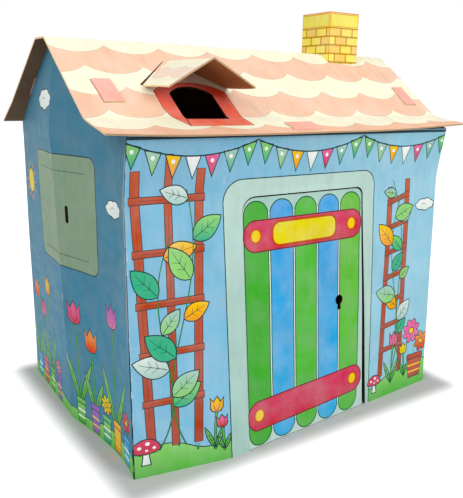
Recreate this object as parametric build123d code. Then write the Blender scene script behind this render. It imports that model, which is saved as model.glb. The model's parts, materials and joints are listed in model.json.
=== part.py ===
from build123d import *
from math import acos, atan2, cos, hypot, radians, sin, tan
import os

os.makedirs("parts", exist_ok=True)

# Cardboard playhouse, folded from sheets of single wall corrugated board.
# Millimetres. X runs along the front wall, the front looks to -Y, Z is up.
# The origin is on the floor, under the middle of the whole outline, so the house itself
# stands a little behind it, because its front wall bulges at the foot.

# Board and fits
board = 4.0
seat_gap = 0.3
cut_gap = 1.2
score_gap = 0.4
slot_fit = 1.0
slot_slack = 2.0
fold_radius = 1.0
least_radius = 0.3

# Wall sheet
house_length = 1000.0
house_depth = 710.0
wall_height = 779.0
crease_x = -256.0
front_bow_floor = 46.0
front_dent = 22.0
front_dent_height = 645.0
gable_bow_floor = 14.0
gable_bow_eave = 40.0
gable_bow_ridge = 17.0
left_dent_near = 28.0
left_dent_far = 6.0
seam_gap = 3.0
lap_width = 38.0
lap_end = 18.0

# Roof sheet
gable_overhang = 52.0
front_eave_overhang = 18.0
back_eave_overhang = 5.0
roof_rise = 206.0
ridge_flat = 62.0
ridge_radius = 5.0
bend_from_eave = 93.0
front_bend_rise = 32.0
back_bend_rise = 55.0
bend_radius = 60.0

# Tabs of the wall sheet that lock the roof
gable_tab_start = 160.0
gable_tab_length = 80.0
gable_tab_flap = 45.0
eave_tab_x = -22.0
eave_tab_width = 84.0
eave_tab_flap = 42.0
tab_root = 7.0

# Door
door_left_x = -205.0
door_width = 398.0
door_height = 630.0
doorway_flare = 32.0
door_hinge_corner = 38.0
door_free_corner = 22.0
door_gap_over = 3.5
door_gap_high = 4.0
door_gap_low = 14.0
door_foot_gap = 2.0
keyhole_from_hinge = 316.0
keyhole_height = 331.0
keyhole_diameter = 27.0
keyhole_tail_width = 12.0
keyhole_tail_length = 27.0

# Window shutters in both gables
window_width = 244.0
window_height = 214.0
window_sill = 462.0
finger_slot_width = 12.0
finger_slot_height = 44.0
finger_slot_from_fold = 40.0

# Dormer over the arched roof opening
dormer_x = -256.0
dormer_width = 232.0
dormer_setback = 57.0
dormer_ridge_drop = 43.0
dormer_side_drop = 63.0
tongue_depth = 12.0
dormer_tongue_width = 42.0
dormer_tongue_from_ridge = 64.0
arch_opening_width = 118.0
arch_spring = 205.0
arch_rise = 28.0
arch_foot = 304.0

# Chimney
chimney_inset = 146.0
chimney_width = 118.0
chimney_depth = 128.0
chimney_rise = 120.0
chimney_tongue_width = 78.0
chimney_lap = 26.0

# Reach of cutting bodies past the sheet that they cut
reach = 60.0

half_length = house_length / 2
half_depth = house_depth / 2
outline_shift = (front_bow_floor - back_eave_overhang) / 2
ridge_height = wall_height + roof_rise


# Plan of the wall sheet. Its bows and dents change evenly between a few heights.
def front_bow(z):
    """How far the front wall's crease stands out from the line between its corners."""
    return front_bow_floor * max(0, 1 - z / wall_height)


def front_push(z):
    """How far the whole front wall is pushed in: most just above the door, not at all under the roof."""
    from_top = max(0, wall_height - z) / (wall_height - front_dent_height)
    return front_dent * min(z / front_dent_height, from_top)


def gable_bow(z):
    """How far a gable's centre fold stands out: most at the eaves, where the roof begins to hold it."""
    if z < wall_height:
        return gable_bow_floor + (gable_bow_eave - gable_bow_floor) * z / wall_height
    return gable_bow_eave + (gable_bow_ridge - gable_bow_eave) * (z - wall_height) / roof_rise


def rounded(before, corner, after, radius):
    """Arc that rounds the corner between two straight stretches of a plan line."""
    back = (before - corner).normalized()
    ahead = (after - corner).normalized()
    half = radians(back.get_angle(ahead)) / 2
    tangent = radius / tan(half)
    middle = corner + (back + ahead).normalized() * (radius / sin(half) - radius)
    return ThreePointArc(corner + back * tangent, middle, corner + ahead * tangent)


def plan_ring(z, inset):
    """Closed plan line of the wall sheet at one height, this far inside its printed face."""
    x = half_length - inset
    y = half_depth - inset
    front = front_push(z) - y
    radius = max(fold_radius + board - inset, least_radius)
    left_fold = Vector(-x - gable_bow(z), 0, z)
    right_fold = Vector(x + gable_bow(z), 0, z)
    crease = Vector(crease_x, front - front_bow(z), z)
    dent_far = Vector(left_dent_far - x, -y / 3, z)
    dent_near = Vector(left_dent_near - x, -y * 2 / 3, z)
    front_left = Vector(-x, front, z)
    front_right = Vector(x, front, z)
    back_left = Vector(-x, y, z)
    back_right = Vector(x, y, z)
    turn_front_left = rounded(dent_near, front_left, crease, radius)
    turn_front_right = rounded(crease, front_right, right_fold, radius)
    turn_back_right = rounded(right_fold, back_right, back_left, radius)
    turn_back_left = rounded(back_right, back_left, left_fold, radius)
    return Wire([
        Bezier(left_fold, dent_far, dent_near, turn_front_left @ 0),
        turn_front_left,
        Line(turn_front_left @ 1, crease),
        Line(crease, turn_front_right @ 0),
        turn_front_right,
        Line(turn_front_right @ 1, right_fold),
        Line(right_fold, turn_back_right @ 0),
        turn_back_right,
        Line(turn_back_right @ 1, turn_back_left @ 0),
        turn_back_left,
        Line(turn_back_left @ 1, left_fold),
    ])


def wall_block(inset):
    """All the space inside the wall sheet's printed face, less the inset."""
    heights = [-reach, front_dent_height, wall_height, ridge_height + reach]
    return Solid.make_loft([plan_ring(z, inset) for z in heights], ruled=True)


def wall_layer(inset):
    """One thickness of board that starts this far inside the printed face."""
    return wall_block(inset) - wall_block(inset + board)


# Line of the roof's top face, seen from the right, from the front eave over the ridge to the back eave
bend_y = half_depth - bend_from_eave


def flare_slope(bend_rise):
    """Slope of the roof's lowest stretch, whose underside rests on the wall's top edge."""
    rise = bend_rise - seat_gap
    return acos(board / hypot(rise, bend_from_eave)) - atan2(bend_from_eave, rise)


front_flare = flare_slope(front_bend_rise)
back_flare = flare_slope(back_bend_rise)
front_bend_height = wall_height + front_bend_rise
back_bend_height = wall_height + back_bend_rise
front_edge_height = front_bend_height - (bend_from_eave + front_eave_overhang) * tan(front_flare)
back_edge_height = back_bend_height - (bend_from_eave + back_eave_overhang) * tan(back_flare)
ridge_edge = ridge_flat / 2
front_pitch = atan2(ridge_height - front_bend_height, bend_y - ridge_edge)
back_pitch = atan2(ridge_height - back_bend_height, bend_y - ridge_edge)

roof_points = [
    (-half_depth - front_eave_overhang, front_edge_height),
    (-bend_y, front_bend_height),
    (-ridge_edge, ridge_height),
    (ridge_edge, ridge_height),
    (bend_y, back_bend_height),
    (half_depth + back_eave_overhang, back_edge_height),
]


def lowered(points, drop):
    """The same broken line, moved down by this much, square to each of its stretches."""
    moved = []
    for (y0, z0), (y1, z1) in zip(points, points[1:]):
        length = hypot(y1 - y0, z1 - z0)
        shift_y = drop * (z1 - z0) / length
        shift_z = -drop * (y1 - y0) / length
        moved.append(((y0 + shift_y, z0 + shift_z), (y1 + shift_y, z1 + shift_z)))
    line = [moved[0][0]]
    for (a, b), (c, d) in zip(moved, moved[1:]):
        ay, az = b[0] - a[0], b[1] - a[1]
        cy, cz = d[0] - c[0], d[1] - c[1]
        t = ((c[0] - a[0]) * cz - (c[1] - a[1]) * cy) / (ay * cz - az * cy)
        line.append((a[0] + t * ay, a[1] + t * az))
    line.append(moved[-1][1])
    return line


def roof_edge(drop):
    """Roof line this far under the top face, with its soft bends and the two scores of the ridge."""
    points = [(0, y, z) for y, z in lowered(roof_points, drop)]
    ridge = max(ridge_radius + board - drop, least_radius)
    bend = bend_radius + drop
    return Wire(FilletPolyline(*points, radius=[bend, ridge, ridge, bend]).edges())


def along_length(face, length):
    """A side profile drawn on the middle plane, pushed out to both ends."""
    return extrude(face, amount=length / 2, dir=(1, 0, 0), both=True)


def roof_blank():
    """The folded roof sheet before anything is cut out of it."""
    upper = roof_edge(0)
    lower = roof_edge(board)
    ends = [Line(upper @ 0, lower @ 0), Line(upper @ 1, lower @ 1)]
    face = Face(Wire(upper.edges() + lower.edges() + ends))
    return along_length(face, house_length + 2 * gable_overhang)


def under_roof(drop):
    """All the space under the roof line, down to the floor."""
    edge = roof_edge(drop)
    front, back = edge @ 0, edge @ 1
    front_out = (0, front.Y - reach, front.Z - reach * tan(front_flare))
    back_out = (0, back.Y + reach, back.Z - reach * tan(back_flare))
    rest = Polyline(front, front_out, (0, front_out[1], 0), (0, back_out[1], 0), back_out, back)
    face = Face(Wire(edge.edges() + rest.edges()))
    return along_length(face, house_length + 4 * reach)


def slope_plane(side, x, from_ridge):
    """Plane on a roof slope's top face: local X along the house, local Z out of the roof."""
    pitch = front_pitch if side < 0 else back_pitch
    y = side * (ridge_edge + from_ridge * cos(pitch))
    z = ridge_height - from_ridge * sin(pitch)
    return Plane(origin=(x, y, z), x_dir=(1, 0, 0), z_dir=(0, side * sin(pitch), cos(pitch)))


def box_between(low, high):
    """A box given by its two corners."""
    size = [b - a for a, b in zip(low, high)]
    return Pos(*low) * Box(*size, align=Align.MIN)


# Tabs of the wall sheet, which pass through the roof and fold flat onto it
def gable_tab_zone(side, grow):
    """Stretch of one slope that its two gable tabs take up, longer by this much at each end."""
    plane = slope_plane(side, 0, gable_tab_start + gable_tab_length / 2)
    zone = Box(house_length + 2 * reach, gable_tab_length + 2 * grow, 2 * (board + tab_root))
    return plane.location * zone


def eave_tab_zone(side, grow):
    """Space of the tab in the middle of one eave, wider by this much at each end."""
    half = eave_tab_width / 2 + grow
    y_low, y_high = sorted((side * (half_depth - eave_tab_flap - reach), side * (half_depth + reach)))
    low = (eave_tab_x - half, y_low, wall_height - tab_root)
    return box_between(low, (eave_tab_x + half, y_high, ridge_height))


def tabs(zone, flap_width):
    """The board of the walls within a zone, taken up through the roof and turned inwards onto it."""
    space = zone & under_roof(-seat_gap - board)
    necks = wall_layer(0) & space
    flaps = ((wall_block(0) - wall_block(flap_width)) & space) - under_roof(-seat_gap)
    return necks + flaps


def tab_slots(zone):
    """Slots for the tabs within a zone, with slack on their outer side."""
    return zone & (wall_block(-slot_slack) - wall_block(board + slot_fit))


def back_eave_notch():
    """Notch for the back eave's tab, open to the eave's edge."""
    return eave_tab_zone(1, slot_fit) - wall_block(board + slot_fit)


# Door and its opening, drawn on the front wall and pushed through it
door_right_x = door_left_x + door_width


def front_prism(points, radii):
    """A shape drawn on the front wall, with rounded upper corners, pushed through that wall alone."""
    outline = FilletPolyline(*[(x, 0, z) for x, z in points], radius=radii, close=False)
    foot = Line(outline @ 0, outline @ 1)
    face = Face(Wire(outline.edges() + [foot.edge()]))
    depth = front_bow_floor + 2 * reach
    return Pos(0, -half_depth + reach, 0) * extrude(face, amount=depth, dir=(0, -1, 0))


def jamb_x(z):
    """The doorway's free side, which leans outwards towards the floor."""
    return door_right_x + doorway_flare * (1 - z / door_height)


def doorway_prism():
    foot = -reach / 2
    points = [
        (door_left_x, foot),
        (door_left_x, door_height),
        (door_right_x, door_height),
        (jamb_x(foot), foot),
    ]
    return front_prism(points, [door_hinge_corner, door_free_corner])


def door_prism():
    top = door_height - door_gap_over
    points = [
        (door_left_x + score_gap, door_foot_gap),
        (door_left_x + score_gap, top),
        (jamb_x(top) - door_gap_high, top),
        (jamb_x(door_foot_gap) - door_gap_low, door_foot_gap),
    ]
    return front_prism(points, [door_hinge_corner, door_free_corner])


def keyhole():
    x = door_left_x + keyhole_from_hinge
    y = -half_depth + reach
    depth = front_bow_floor + 2 * reach
    bore = Plane(origin=(x, y, keyhole_height), x_dir=(1, 0, 0), z_dir=(0, -1, 0))
    round_hole = bore.location * extrude(Circle(keyhole_diameter / 2), amount=depth)
    half = keyhole_tail_width / 2
    foot = keyhole_height - keyhole_tail_length
    return round_hole + box_between((x - half, y - depth, foot), (x + half, y, keyhole_height))


# Shutters: two leaves in each gable, which meet at its centre fold
window_top = window_sill + window_height


def gable_prism(end, y_low, y_high, z_low, z_high):
    """A rectangle drawn on a gable, pushed through that gable alone."""
    near = end * (half_length - reach)
    far = end * (half_length + gable_bow_eave + reach)
    x_low, x_high = sorted((near, far))
    return box_between((x_low, y_low, z_low), (x_high, y_high, z_high))


def window_prism(end):
    half = window_width / 2
    return gable_prism(end, -half, half, window_sill, window_top)


def shutter_prism(end, side):
    """One leaf's outline: hinged on its outer edge, cut free on the other three."""
    hinge = side * (window_width / 2 - score_gap)
    free = side * cut_gap / 2
    y_low, y_high = sorted((hinge, free))
    return gable_prism(end, y_low, y_high, window_sill + cut_gap, window_top - cut_gap)


def finger_slot(end):
    """Upright slot with round ends in the front leaf, for a finger."""
    start = (end * (half_length - reach), -finger_slot_from_fold, (window_sill + window_top) / 2)
    plane = Plane(origin=start, x_dir=(0, 1, 0), z_dir=(end, 0, 0))
    outline = SlotOverall(finger_slot_height, finger_slot_width, rotation=90)
    return plane.location * extrude(outline, amount=gable_bow_eave + 2 * reach)


# Dormer: a folded sheet over the opening, level, its back cut to the slope of the roof
dormer_half = dormer_width / 2
dormer_front_y = dormer_setback - half_depth
dormer_ridge_height = ridge_height - dormer_ridge_drop
dormer_side_height = dormer_ridge_height - dormer_side_drop


def dormer_sheet(grow):
    """The dormer's folded sheet before its back is cut, with this much added on each face."""
    points = [
        (-dormer_half, dormer_side_height),
        (0, dormer_ridge_height),
        (dormer_half, dormer_side_height),
    ]
    top = lowered(points, -grow)
    low = lowered(points, board + grow)
    upper = FilletPolyline(*[(x, 0, z) for x, z in top], radius=ridge_radius + board)
    under = FilletPolyline(*[(x, 0, z) for x, z in low], radius=ridge_radius)
    ends = [Line(upper @ 0, under @ 0), Line(upper @ 1, under @ 1)]
    face = Face(Wire(upper.edges() + under.edges() + [e.edge() for e in ends]))
    sheet = extrude(face, amount=-dormer_front_y, dir=(0, 1, 0))
    return Pos(dormer_x, dormer_front_y, 0) * sheet


def dormer_tongues(grow, drop):
    """Tongues of the dormer's back edges, which reach down through slots in the roof."""
    half = dormer_tongue_width / 2 + grow
    zones = []
    for side in (-1, 1):
        x = dormer_x + side * dormer_tongue_from_ridge
        zones.append(box_between((x - half, dormer_front_y, 0), (x + half, 0, ridge_height)))
    return (dormer_sheet(grow) & (zones[0] + zones[1])) - under_roof(drop)


def arch_opening():
    """Arched opening in the front slope, cut square to the board."""
    half = arch_opening_width / 2
    plane = slope_plane(-1, dormer_x, 0)
    sides = Polyline((-half, -arch_spring), (-half, -arch_foot), (half, -arch_foot), (half, -arch_spring))
    arch = ThreePointArc((-half, -arch_spring), (0, -arch_spring + arch_rise), (half, -arch_spring))
    face = Face(Wire(sides.edges() + arch.edges()))
    return plane.location * extrude(face, amount=2 * reach, both=True)


# Chimney: a folded sleeve that stands astride the ridge
chimney_x = half_length - chimney_inset
chimney_top = ridge_height + chimney_rise
chimney_low = ridge_height - chimney_depth


def chimney_block(inset):
    """All the space inside the sleeve's printed face, less the inset."""
    radius = max(fold_radius + board - inset, least_radius)
    outline = RectangleRounded(chimney_width - 2 * inset, chimney_depth - 2 * inset, radius)
    return Pos(chimney_x, 0, chimney_low) * extrude(outline, amount=chimney_top - chimney_low)


def chimney_blank():
    """Four sides of board, with a seam near the back right corner and its lap glued inside."""
    sleeve = chimney_block(0) - chimney_block(board)
    inner_x = chimney_x + chimney_width / 2 - board
    inner_y = chimney_depth / 2 - board
    seam_low = (inner_x - fold_radius, inner_y - fold_radius - seam_gap, chimney_low)
    seam = box_between(seam_low, (inner_x + 2 * board, inner_y - fold_radius, chimney_top))
    lap_low = (inner_x - seat_gap - board, inner_y - chimney_lap, chimney_low)
    lap = box_between(lap_low, (inner_x - seat_gap, inner_y + board / 2, chimney_top))
    return (sleeve - seam) + lap


def chimney_tongues(grow, drop):
    """Tongues of the sleeve's front and back, which reach down through slots in the roof."""
    half = chimney_tongue_width / 2 + grow
    near = chimney_depth / 2 - board - grow
    far = chimney_depth / 2 + grow
    front = box_between((chimney_x - half, -far, chimney_low), (chimney_x + half, -near, ridge_height))
    back = box_between((chimney_x - half, near, chimney_low), (chimney_x + half, far, ridge_height))
    return (front + back) - under_roof(drop)


# Wall sheet, folded from one piece
def corner_column(x_low, x_high, y_low, y_high, z_low, z_high):
    """An upright block at the front left corner, which leans in and out with the front wall."""
    turns = [z for z in (front_dent_height, wall_height) if z_low < z < z_high]
    rings = []
    for z in [z_low, *turns, z_high]:
        near = y_low + front_push(z)
        far = y_high + front_push(z)
        corners = [(x_low, near, z), (x_high, near, z), (x_high, far, z), (x_low, far, z)]
        rings.append(Wire.make_polygon(corners))
    return Solid.make_loft(rings, ruled=True)


def lap_flange():
    """The sheet's last strip, folded in at the front left corner and lying behind the gable."""
    start = board + seat_gap
    left = start - half_length
    quarter = board / 4
    front = board - half_depth
    turned = front + start
    top = wall_height - lap_end
    strip = corner_column(left - reach, left + reach, turned, front + lap_width, lap_end, top)
    corner = corner_column(left - reach, left + 3 * quarter, front, turned + board, lap_end, top)
    web = corner_column(left + quarter, left + 2 * quarter, front - board / 2, front + board / 2, lap_end, top)
    return (wall_layer(start) & (strip + corner)) + web


def corner_seam():
    """Narrow gap between the gable's free edge and the front wall."""
    front = board - half_depth
    inner = board + seat_gap / 2 - half_length
    return corner_column(-half_length - reach, inner, front, front + seam_gap, -reach, ridge_height)


def wall_sheet():
    walls = wall_layer(0) & under_roof(board + seat_gap)
    walls = walls - doorway_prism() - window_prism(-1) - window_prism(1) - corner_seam()
    for side in (-1, 1):
        walls = walls + tabs(gable_tab_zone(side, 0), gable_tab_flap)
        walls = walls + tabs(eave_tab_zone(side, 0), eave_tab_flap)
    return walls + lap_flange()


def roof_sheet():
    sheet = roof_blank() - arch_opening()
    for side in (-1, 1):
        sheet = sheet - tab_slots(gable_tab_zone(side, slot_fit))
    sheet = sheet - tab_slots(eave_tab_zone(-1, slot_fit)) - back_eave_notch()
    sheet = sheet - dormer_tongues(slot_fit / 2, board + tongue_depth)
    return sheet - chimney_tongues(slot_fit / 2, board + tongue_depth)


def dormer_hood():
    body = dormer_sheet(0) - under_roof(-seat_gap)
    return body + dormer_tongues(0, board + tongue_depth)


def chimney_sleeve():
    body = chimney_blank() - under_roof(-seat_gap)
    return body + chimney_tongues(0, board + tongue_depth)


def door_flap():
    return (wall_layer(0) & door_prism()) - keyhole()


def shutter(end, side):
    leaf = wall_layer(0) & shutter_prism(end, side)
    if side < 0:
        leaf = leaf - finger_slot(end)
    return leaf


parts = {
    "wall_sheet": wall_sheet(),
    "roof_sheet": roof_sheet(),
    "dormer_hood": dormer_hood(),
    "chimney_sleeve": chimney_sleeve(),
    "door_flap": door_flap(),
    "left_front_shutter": shutter(-1, -1),
    "left_back_shutter": shutter(-1, 1),
    "right_front_shutter": shutter(1, -1),
    "right_back_shutter": shutter(1, 1),
}
for name, shape in parts.items():
    export_step(Pos(0, outline_shift, 0) * shape, f"parts/{name}.step")
    print(name, "solids", len(shape.solids()), "volume", round(shape.volume))
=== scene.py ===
import json
import math
import random

import bpy
import numpy as np
from mathutils import Matrix, Vector
from mathutils.geometry import delaunay_2d_cdt

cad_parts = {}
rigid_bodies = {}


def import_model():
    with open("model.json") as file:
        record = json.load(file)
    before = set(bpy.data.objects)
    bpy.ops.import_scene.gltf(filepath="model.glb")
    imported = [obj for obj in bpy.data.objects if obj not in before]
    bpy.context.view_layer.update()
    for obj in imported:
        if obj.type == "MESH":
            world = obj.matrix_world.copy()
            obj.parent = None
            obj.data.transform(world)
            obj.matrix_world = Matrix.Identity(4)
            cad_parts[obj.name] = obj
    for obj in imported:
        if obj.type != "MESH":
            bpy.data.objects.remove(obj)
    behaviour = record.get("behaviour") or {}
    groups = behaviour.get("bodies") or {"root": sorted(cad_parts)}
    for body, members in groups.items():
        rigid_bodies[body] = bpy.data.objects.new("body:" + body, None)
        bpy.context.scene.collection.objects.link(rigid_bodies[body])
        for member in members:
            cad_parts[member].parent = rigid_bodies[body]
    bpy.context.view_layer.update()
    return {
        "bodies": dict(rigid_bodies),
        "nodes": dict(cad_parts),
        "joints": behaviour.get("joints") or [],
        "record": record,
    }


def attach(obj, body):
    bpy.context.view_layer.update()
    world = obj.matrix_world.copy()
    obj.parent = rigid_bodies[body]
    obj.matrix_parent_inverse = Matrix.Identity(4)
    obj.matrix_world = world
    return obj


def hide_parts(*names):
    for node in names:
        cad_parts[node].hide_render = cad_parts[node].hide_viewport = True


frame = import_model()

# Printed cardboard playhouse. Every sheet of board is drawn flat, in millimetres, with its
# print as shapes laid over each other, and is then folded into place. Blender's objects are
# in metres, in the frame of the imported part.
MM = 0.001
random.seed(7)

# Board and fits
BOARD = 4.0
SEAT_GAP = 0.3
CUT_GAP = 1.2
SCORE_GAP = 0.4
SLOT_FIT = 1.0
SLOT_SLACK = 2.0
FOLD_OUTER = 5.0
LEAST_RADIUS = 0.3
FLUTE = 0.0072

# Walls
HALF_LENGTH = 500.0
HALF_DEPTH = 355.0
WALL_HEIGHT = 779.0
CREASE_X = -256.0
FRONT_BOW = 46.0
FRONT_DENT = 22.0
FRONT_DENT_HEIGHT = 645.0
GABLE_BOW_FLOOR = 14.0
GABLE_BOW_EAVE = 40.0
GABLE_BOW_RIDGE = 17.0
LEFT_DENT_NEAR = 28.0
LEFT_DENT_FAR = 6.0
SOFT_BEND = 22.0
SEAM_GAP = 3.0
LAP_WIDTH = 38.0
LAP_END = 18.0
TRUE_FROM_FOLD = 170.0

# Small waves of the walls, which fade out at the eave and beside the hinges
WAVES_END = 30.0
WAVES_FADE = 120.0
HINGE_FLAT = 6.0
HINGE_FADE = 60.0

# Roof
ROOF_END = 552.0
FRONT_OVERHANG = 18.0
BACK_OVERHANG = 5.0
RIDGE_HEIGHT = 985.0
RIDGE_EDGE = 31.0
RIDGE_OUTER = 9.0
BEND_FROM_EAVE = 93.0
FRONT_BEND = 32.0
BACK_BEND = 55.0
BEND_RADIUS = 60.0
EAVE_LIFT_LEFT = 6.0
EAVE_LIFT_RIGHT = 15.0

# Tabs and slots
GABLE_TAB_START = 160.0
GABLE_TAB_LENGTH = 80.0
GABLE_TAB_FLAP = 45.0
EAVE_TAB_LEFT = -64.0
EAVE_TAB_WIDTH = 84.0
EAVE_TAB_FLAP = 42.0
TAB_ROOT = 7.0

# Door
DOOR_LEFT = -205.0
DOOR_RIGHT = 193.0
DOOR_TOP = 630.0
DOORWAY_FLARE = 32.0
DOORWAY_FOOT = -40.0
DOOR_HINGE_CORNER = 38.0
DOOR_FREE_CORNER = 22.0
DOOR_GAP_OVER = 3.5
DOOR_GAP_HIGH = 4.0
DOOR_GAP_LOW = 14.0
DOOR_FOOT = 2.0
KEYHOLE_X = 111.0
KEYHOLE_Z = 331.0
KEYHOLE_RADIUS = 13.5
KEYHOLE_TAIL = 6.0
KEYHOLE_FOOT = 304.0

# Windows
WINDOW_HALF = 122.0
WINDOW_SILL = 462.0
WINDOW_TOP = 676.0
FINGER_SLOT = (12.0, 44.0)
FINGER_SLOT_FROM_FOLD = 40.0

# Dormer and its opening
DORMER_X = -256.0
DORMER_HALF = 116.0
DORMER_FRONT = -298.0
DORMER_RIDGE = 942.0
DORMER_SIDE = 879.0
DORMER_WAVE = 2.0
DORMER_WAVE_DEPTH = 60.0
TONGUE_DEPTH = 12.0
TONGUE_HALF = 21.0
TONGUE_FROM_RIDGE = 64.0
ARCH_HALF = 59.0
ARCH_SPRING = 205.0
ARCH_RISE = 28.0
ARCH_FOOT = 304.0

# Chimney
CHIMNEY_X = 354.0
CHIMNEY_HALF_WIDTH = 59.0
CHIMNEY_HALF_DEPTH = 64.0
CHIMNEY_TOP = 1105.0
CHIMNEY_TONGUE = 39.0

# The house stands this far behind the origin, which is under the middle of its outline
HOUSE_Y = (FRONT_BOW - BACK_OVERHANG) / 2


def colour(red, green, blue):
    """A colour as a picture gives it, 0 to 255, as the linear values that shaders take."""
    parts = [c / 255 for c in (red, green, blue)]
    return tuple(c / 12.92 if c <= 0.04045 else ((c + 0.055) / 1.055) ** 2.4 for c in parts)


INK = colour(28, 58, 60)
SKY = colour(140, 198, 228)
# Darker towards the top of the walls: partly the wash, partly painted shade under the eave
SKY_HIGH = colour(134, 189, 217)
SUNNY_SKY = colour(157, 209, 229)
SUNNY_SKY_HIGH = colour(156, 207, 227)
# Painted shade: the near gable's sky is painted darker than the front's, for the shade on that side
SHADED_GABLE_SKY = colour(70, 138, 168)
SHADED_GABLE_SKY_HIGH = colour(76, 126, 148)
FAR_SKY = colour(92, 158, 192)
FAR_SKY_HIGH = colour(82, 144, 178)
MINT = colour(172, 208, 198)
MINT_HIGH = colour(192, 220, 211)
WINDOW_MINT = colour(136, 162, 134)
PALE = colour(224, 240, 232)
GREEN = colour(80, 176, 66)
GREEN_HIGH = colour(96, 188, 78)
GREEN_SUNNY = colour(118, 194, 80)
BLUE = colour(84, 180, 228)
BLUE_HIGH = colour(92, 168, 226)
ROSE = colour(206, 76, 94)
ROSE_HIGH = colour(214, 84, 112)
YELLOW = colour(234, 218, 50)
GOLD = colour(252, 204, 48)
CREAM = colour(255, 250, 222)
SALMON = colour(250, 206, 178)
SALMON_WARM = colour(248, 196, 164)
TAB_PINK = colour(250, 184, 168)
CORAL = colour(250, 124, 100)
BRICK = colour(252, 236, 118)
BRICK_WARM = colour(252, 212, 118)
BRICK_EDGE = colour(214, 172, 62)
BLOCK = colour(246, 234, 104)
MORTAR = colour(190, 140, 50)
RUST = colour(176, 80, 60)
RUST_HIGH = colour(196, 98, 72)
TEAL = colour(66, 182, 138)
LEAF = colour(146, 214, 118)
ORANGE = colour(244, 162, 62)
PINK = colour(240, 116, 170)
RED = colour(230, 66, 52)
PURPLE = colour(150, 108, 190)
WHITE = colour(250, 251, 248)
SLAT_GRAIN = colour(120, 48, 38)
VINE_STEM = colour(60, 120, 60)
BLADE = colour(46, 130, 60)
EAVE_SHADOW_LINE = colour(44, 66, 80)
SEAM_SLIT_SHADE = colour(26, 44, 56)
SEAM_SHADE_LINE = colour(56, 92, 116)
PLANK_LINE = colour(30, 92, 62)
RAIL_EDGE = colour(112, 38, 52)
RAIL_LINE = colour(196, 74, 46)
PLATE_LINE = colour(206, 104, 44)
SCALLOP_LINE = colour(214, 196, 164)
CORAL_HIGH = colour(236, 104, 90)
CORAL_LINE = colour(176, 84, 60)
ARCH_LINE = colour(96, 34, 32)
DORMER_EDGE_SHADOW = colour(84, 58, 44)
DORMER_BAND = colour(252, 226, 208)
DORMER_LINE = colour(226, 208, 184)
CHIMNEY_RIM = colour(238, 150, 104)
KRAFT_DARK = colour(150, 108, 74)
KRAFT_LIGHT = colour(178, 134, 94)
KRAFT_FIBRE = colour(122, 88, 60)
KRAFT_FLUTE = colour(190, 170, 150)
CUT_LIGHT = colour(232, 208, 174)
CUT_DARK = colour(206, 176, 138)
FLUTE_GAP_SHADE = colour(160, 126, 92)

# Tints that the boards' colours are multiplied by
PLAIN = (1.0, 1.0, 1.0)
# Nearly black: painted shade on the cut edges of holes, where the dark inside of the house shows
PAINTED_HOLE_SHADE = (0.06, 0.055, 0.05)
# Makes the roof's and the dormer's outer cut edges paler than cut edges elsewhere
PALER_EDGE = (1.22, 1.16, 1.12)
# Painted shade on the roof's underside where it hangs out past the gables
SOFFIT_SHADE = (0.62, 0.74, 0.94)
# Painted warm bounce light on the dormer's underside, from the coral print beneath it
DORMER_LINER_BOUNCE = (1.12, 0.98, 0.84)

INK_LINE = 1.3


# Flat shapes, as counter-clockwise lists of points
def box(left, low, right, high):
    """The corners of a rectangle, from the lower left one on."""
    return [(left, low), (right, low), (right, high), (left, high)]


def between_points(start, end, share):
    return tuple(a + (b - a) * share for a, b in zip(start, end))


def between_line(start, end, first, last):
    """Four points of a straight line, from one share of its way to another."""
    return [between_points(start, end, s) for s in np.linspace(first, last, 4)]


def area_of(points):
    p = np.asarray(points, float)
    q = np.roll(p, -1, 0)
    return float((p[:, 0] * q[:, 1] - q[:, 0] * p[:, 1]).sum() / 2)


def turned_left(points):
    return list(points) if area_of(points) > 0 else list(reversed(points))


def moved(points, across, up, angle=0.0, scale=1.0):
    """The shape turned by an angle in degrees, scaled and moved."""
    c, s = math.cos(math.radians(angle)) * scale, math.sin(math.radians(angle)) * scale
    return [(across + c * x - s * y, up + s * x + c * y) for x, y in points]


def ellipse(across, up, half_width, half_height, angle=0.0, count=28):
    steps = [math.tau * i / count for i in range(count)]
    return moved([(half_width * math.cos(a), half_height * math.sin(a)) for a in steps], across, up, angle)


def rounded_box(left, low, right, high, radii):
    """A rectangle whose corners are rounded, from the lower left one on, by one radius or by four."""
    points = []
    inwards = [(1, 1), (-1, 1), (-1, -1), (1, -1)]
    rounds = zip(box(left, low, right, high), inwards, np.broadcast_to(radii, 4))
    for number, ((x, y), (sx, sy), radius) in enumerate(rounds):
        if radius <= 0:
            points.append((x, y))
            continue
        count = 4 + int(radius / 4)
        start = math.pi + number * math.pi / 2
        for i in range(count + 1):
            a = start + math.pi / 2 * i / count
            points.append((x + sx * radius + radius * math.cos(a), y + sy * radius + radius * math.sin(a)))
    return points


def bezier(a, b, c, d, share):
    """Points of a cubic curve, at these shares of its way."""
    t = share[..., None]
    return (1 - t) ** 3 * a + 3 * (1 - t) ** 2 * t * b + 3 * (1 - t) * t ** 2 * c + t ** 3 * d


def curve(start, lead, follow, end, count=14):
    """An evenly spaced row of points on a cubic curve."""
    return bezier(*np.array([start, lead, follow, end], float), np.linspace(0, 1, count))


def stroke(line, width, end_width=None):
    """A band of ink along a line, tapering from one width to the other."""
    line = np.asarray(line, float)
    along = np.gradient(line, axis=0)
    along /= np.linalg.norm(along, axis=1)[:, None]
    side = np.stack([-along[:, 1], along[:, 0]], 1)
    half = np.linspace(width, width if end_width is None else end_width, len(line))[:, None] / 2
    return [tuple(p) for p in np.concatenate([line - side * half, (line + side * half)[::-1]])]


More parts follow.
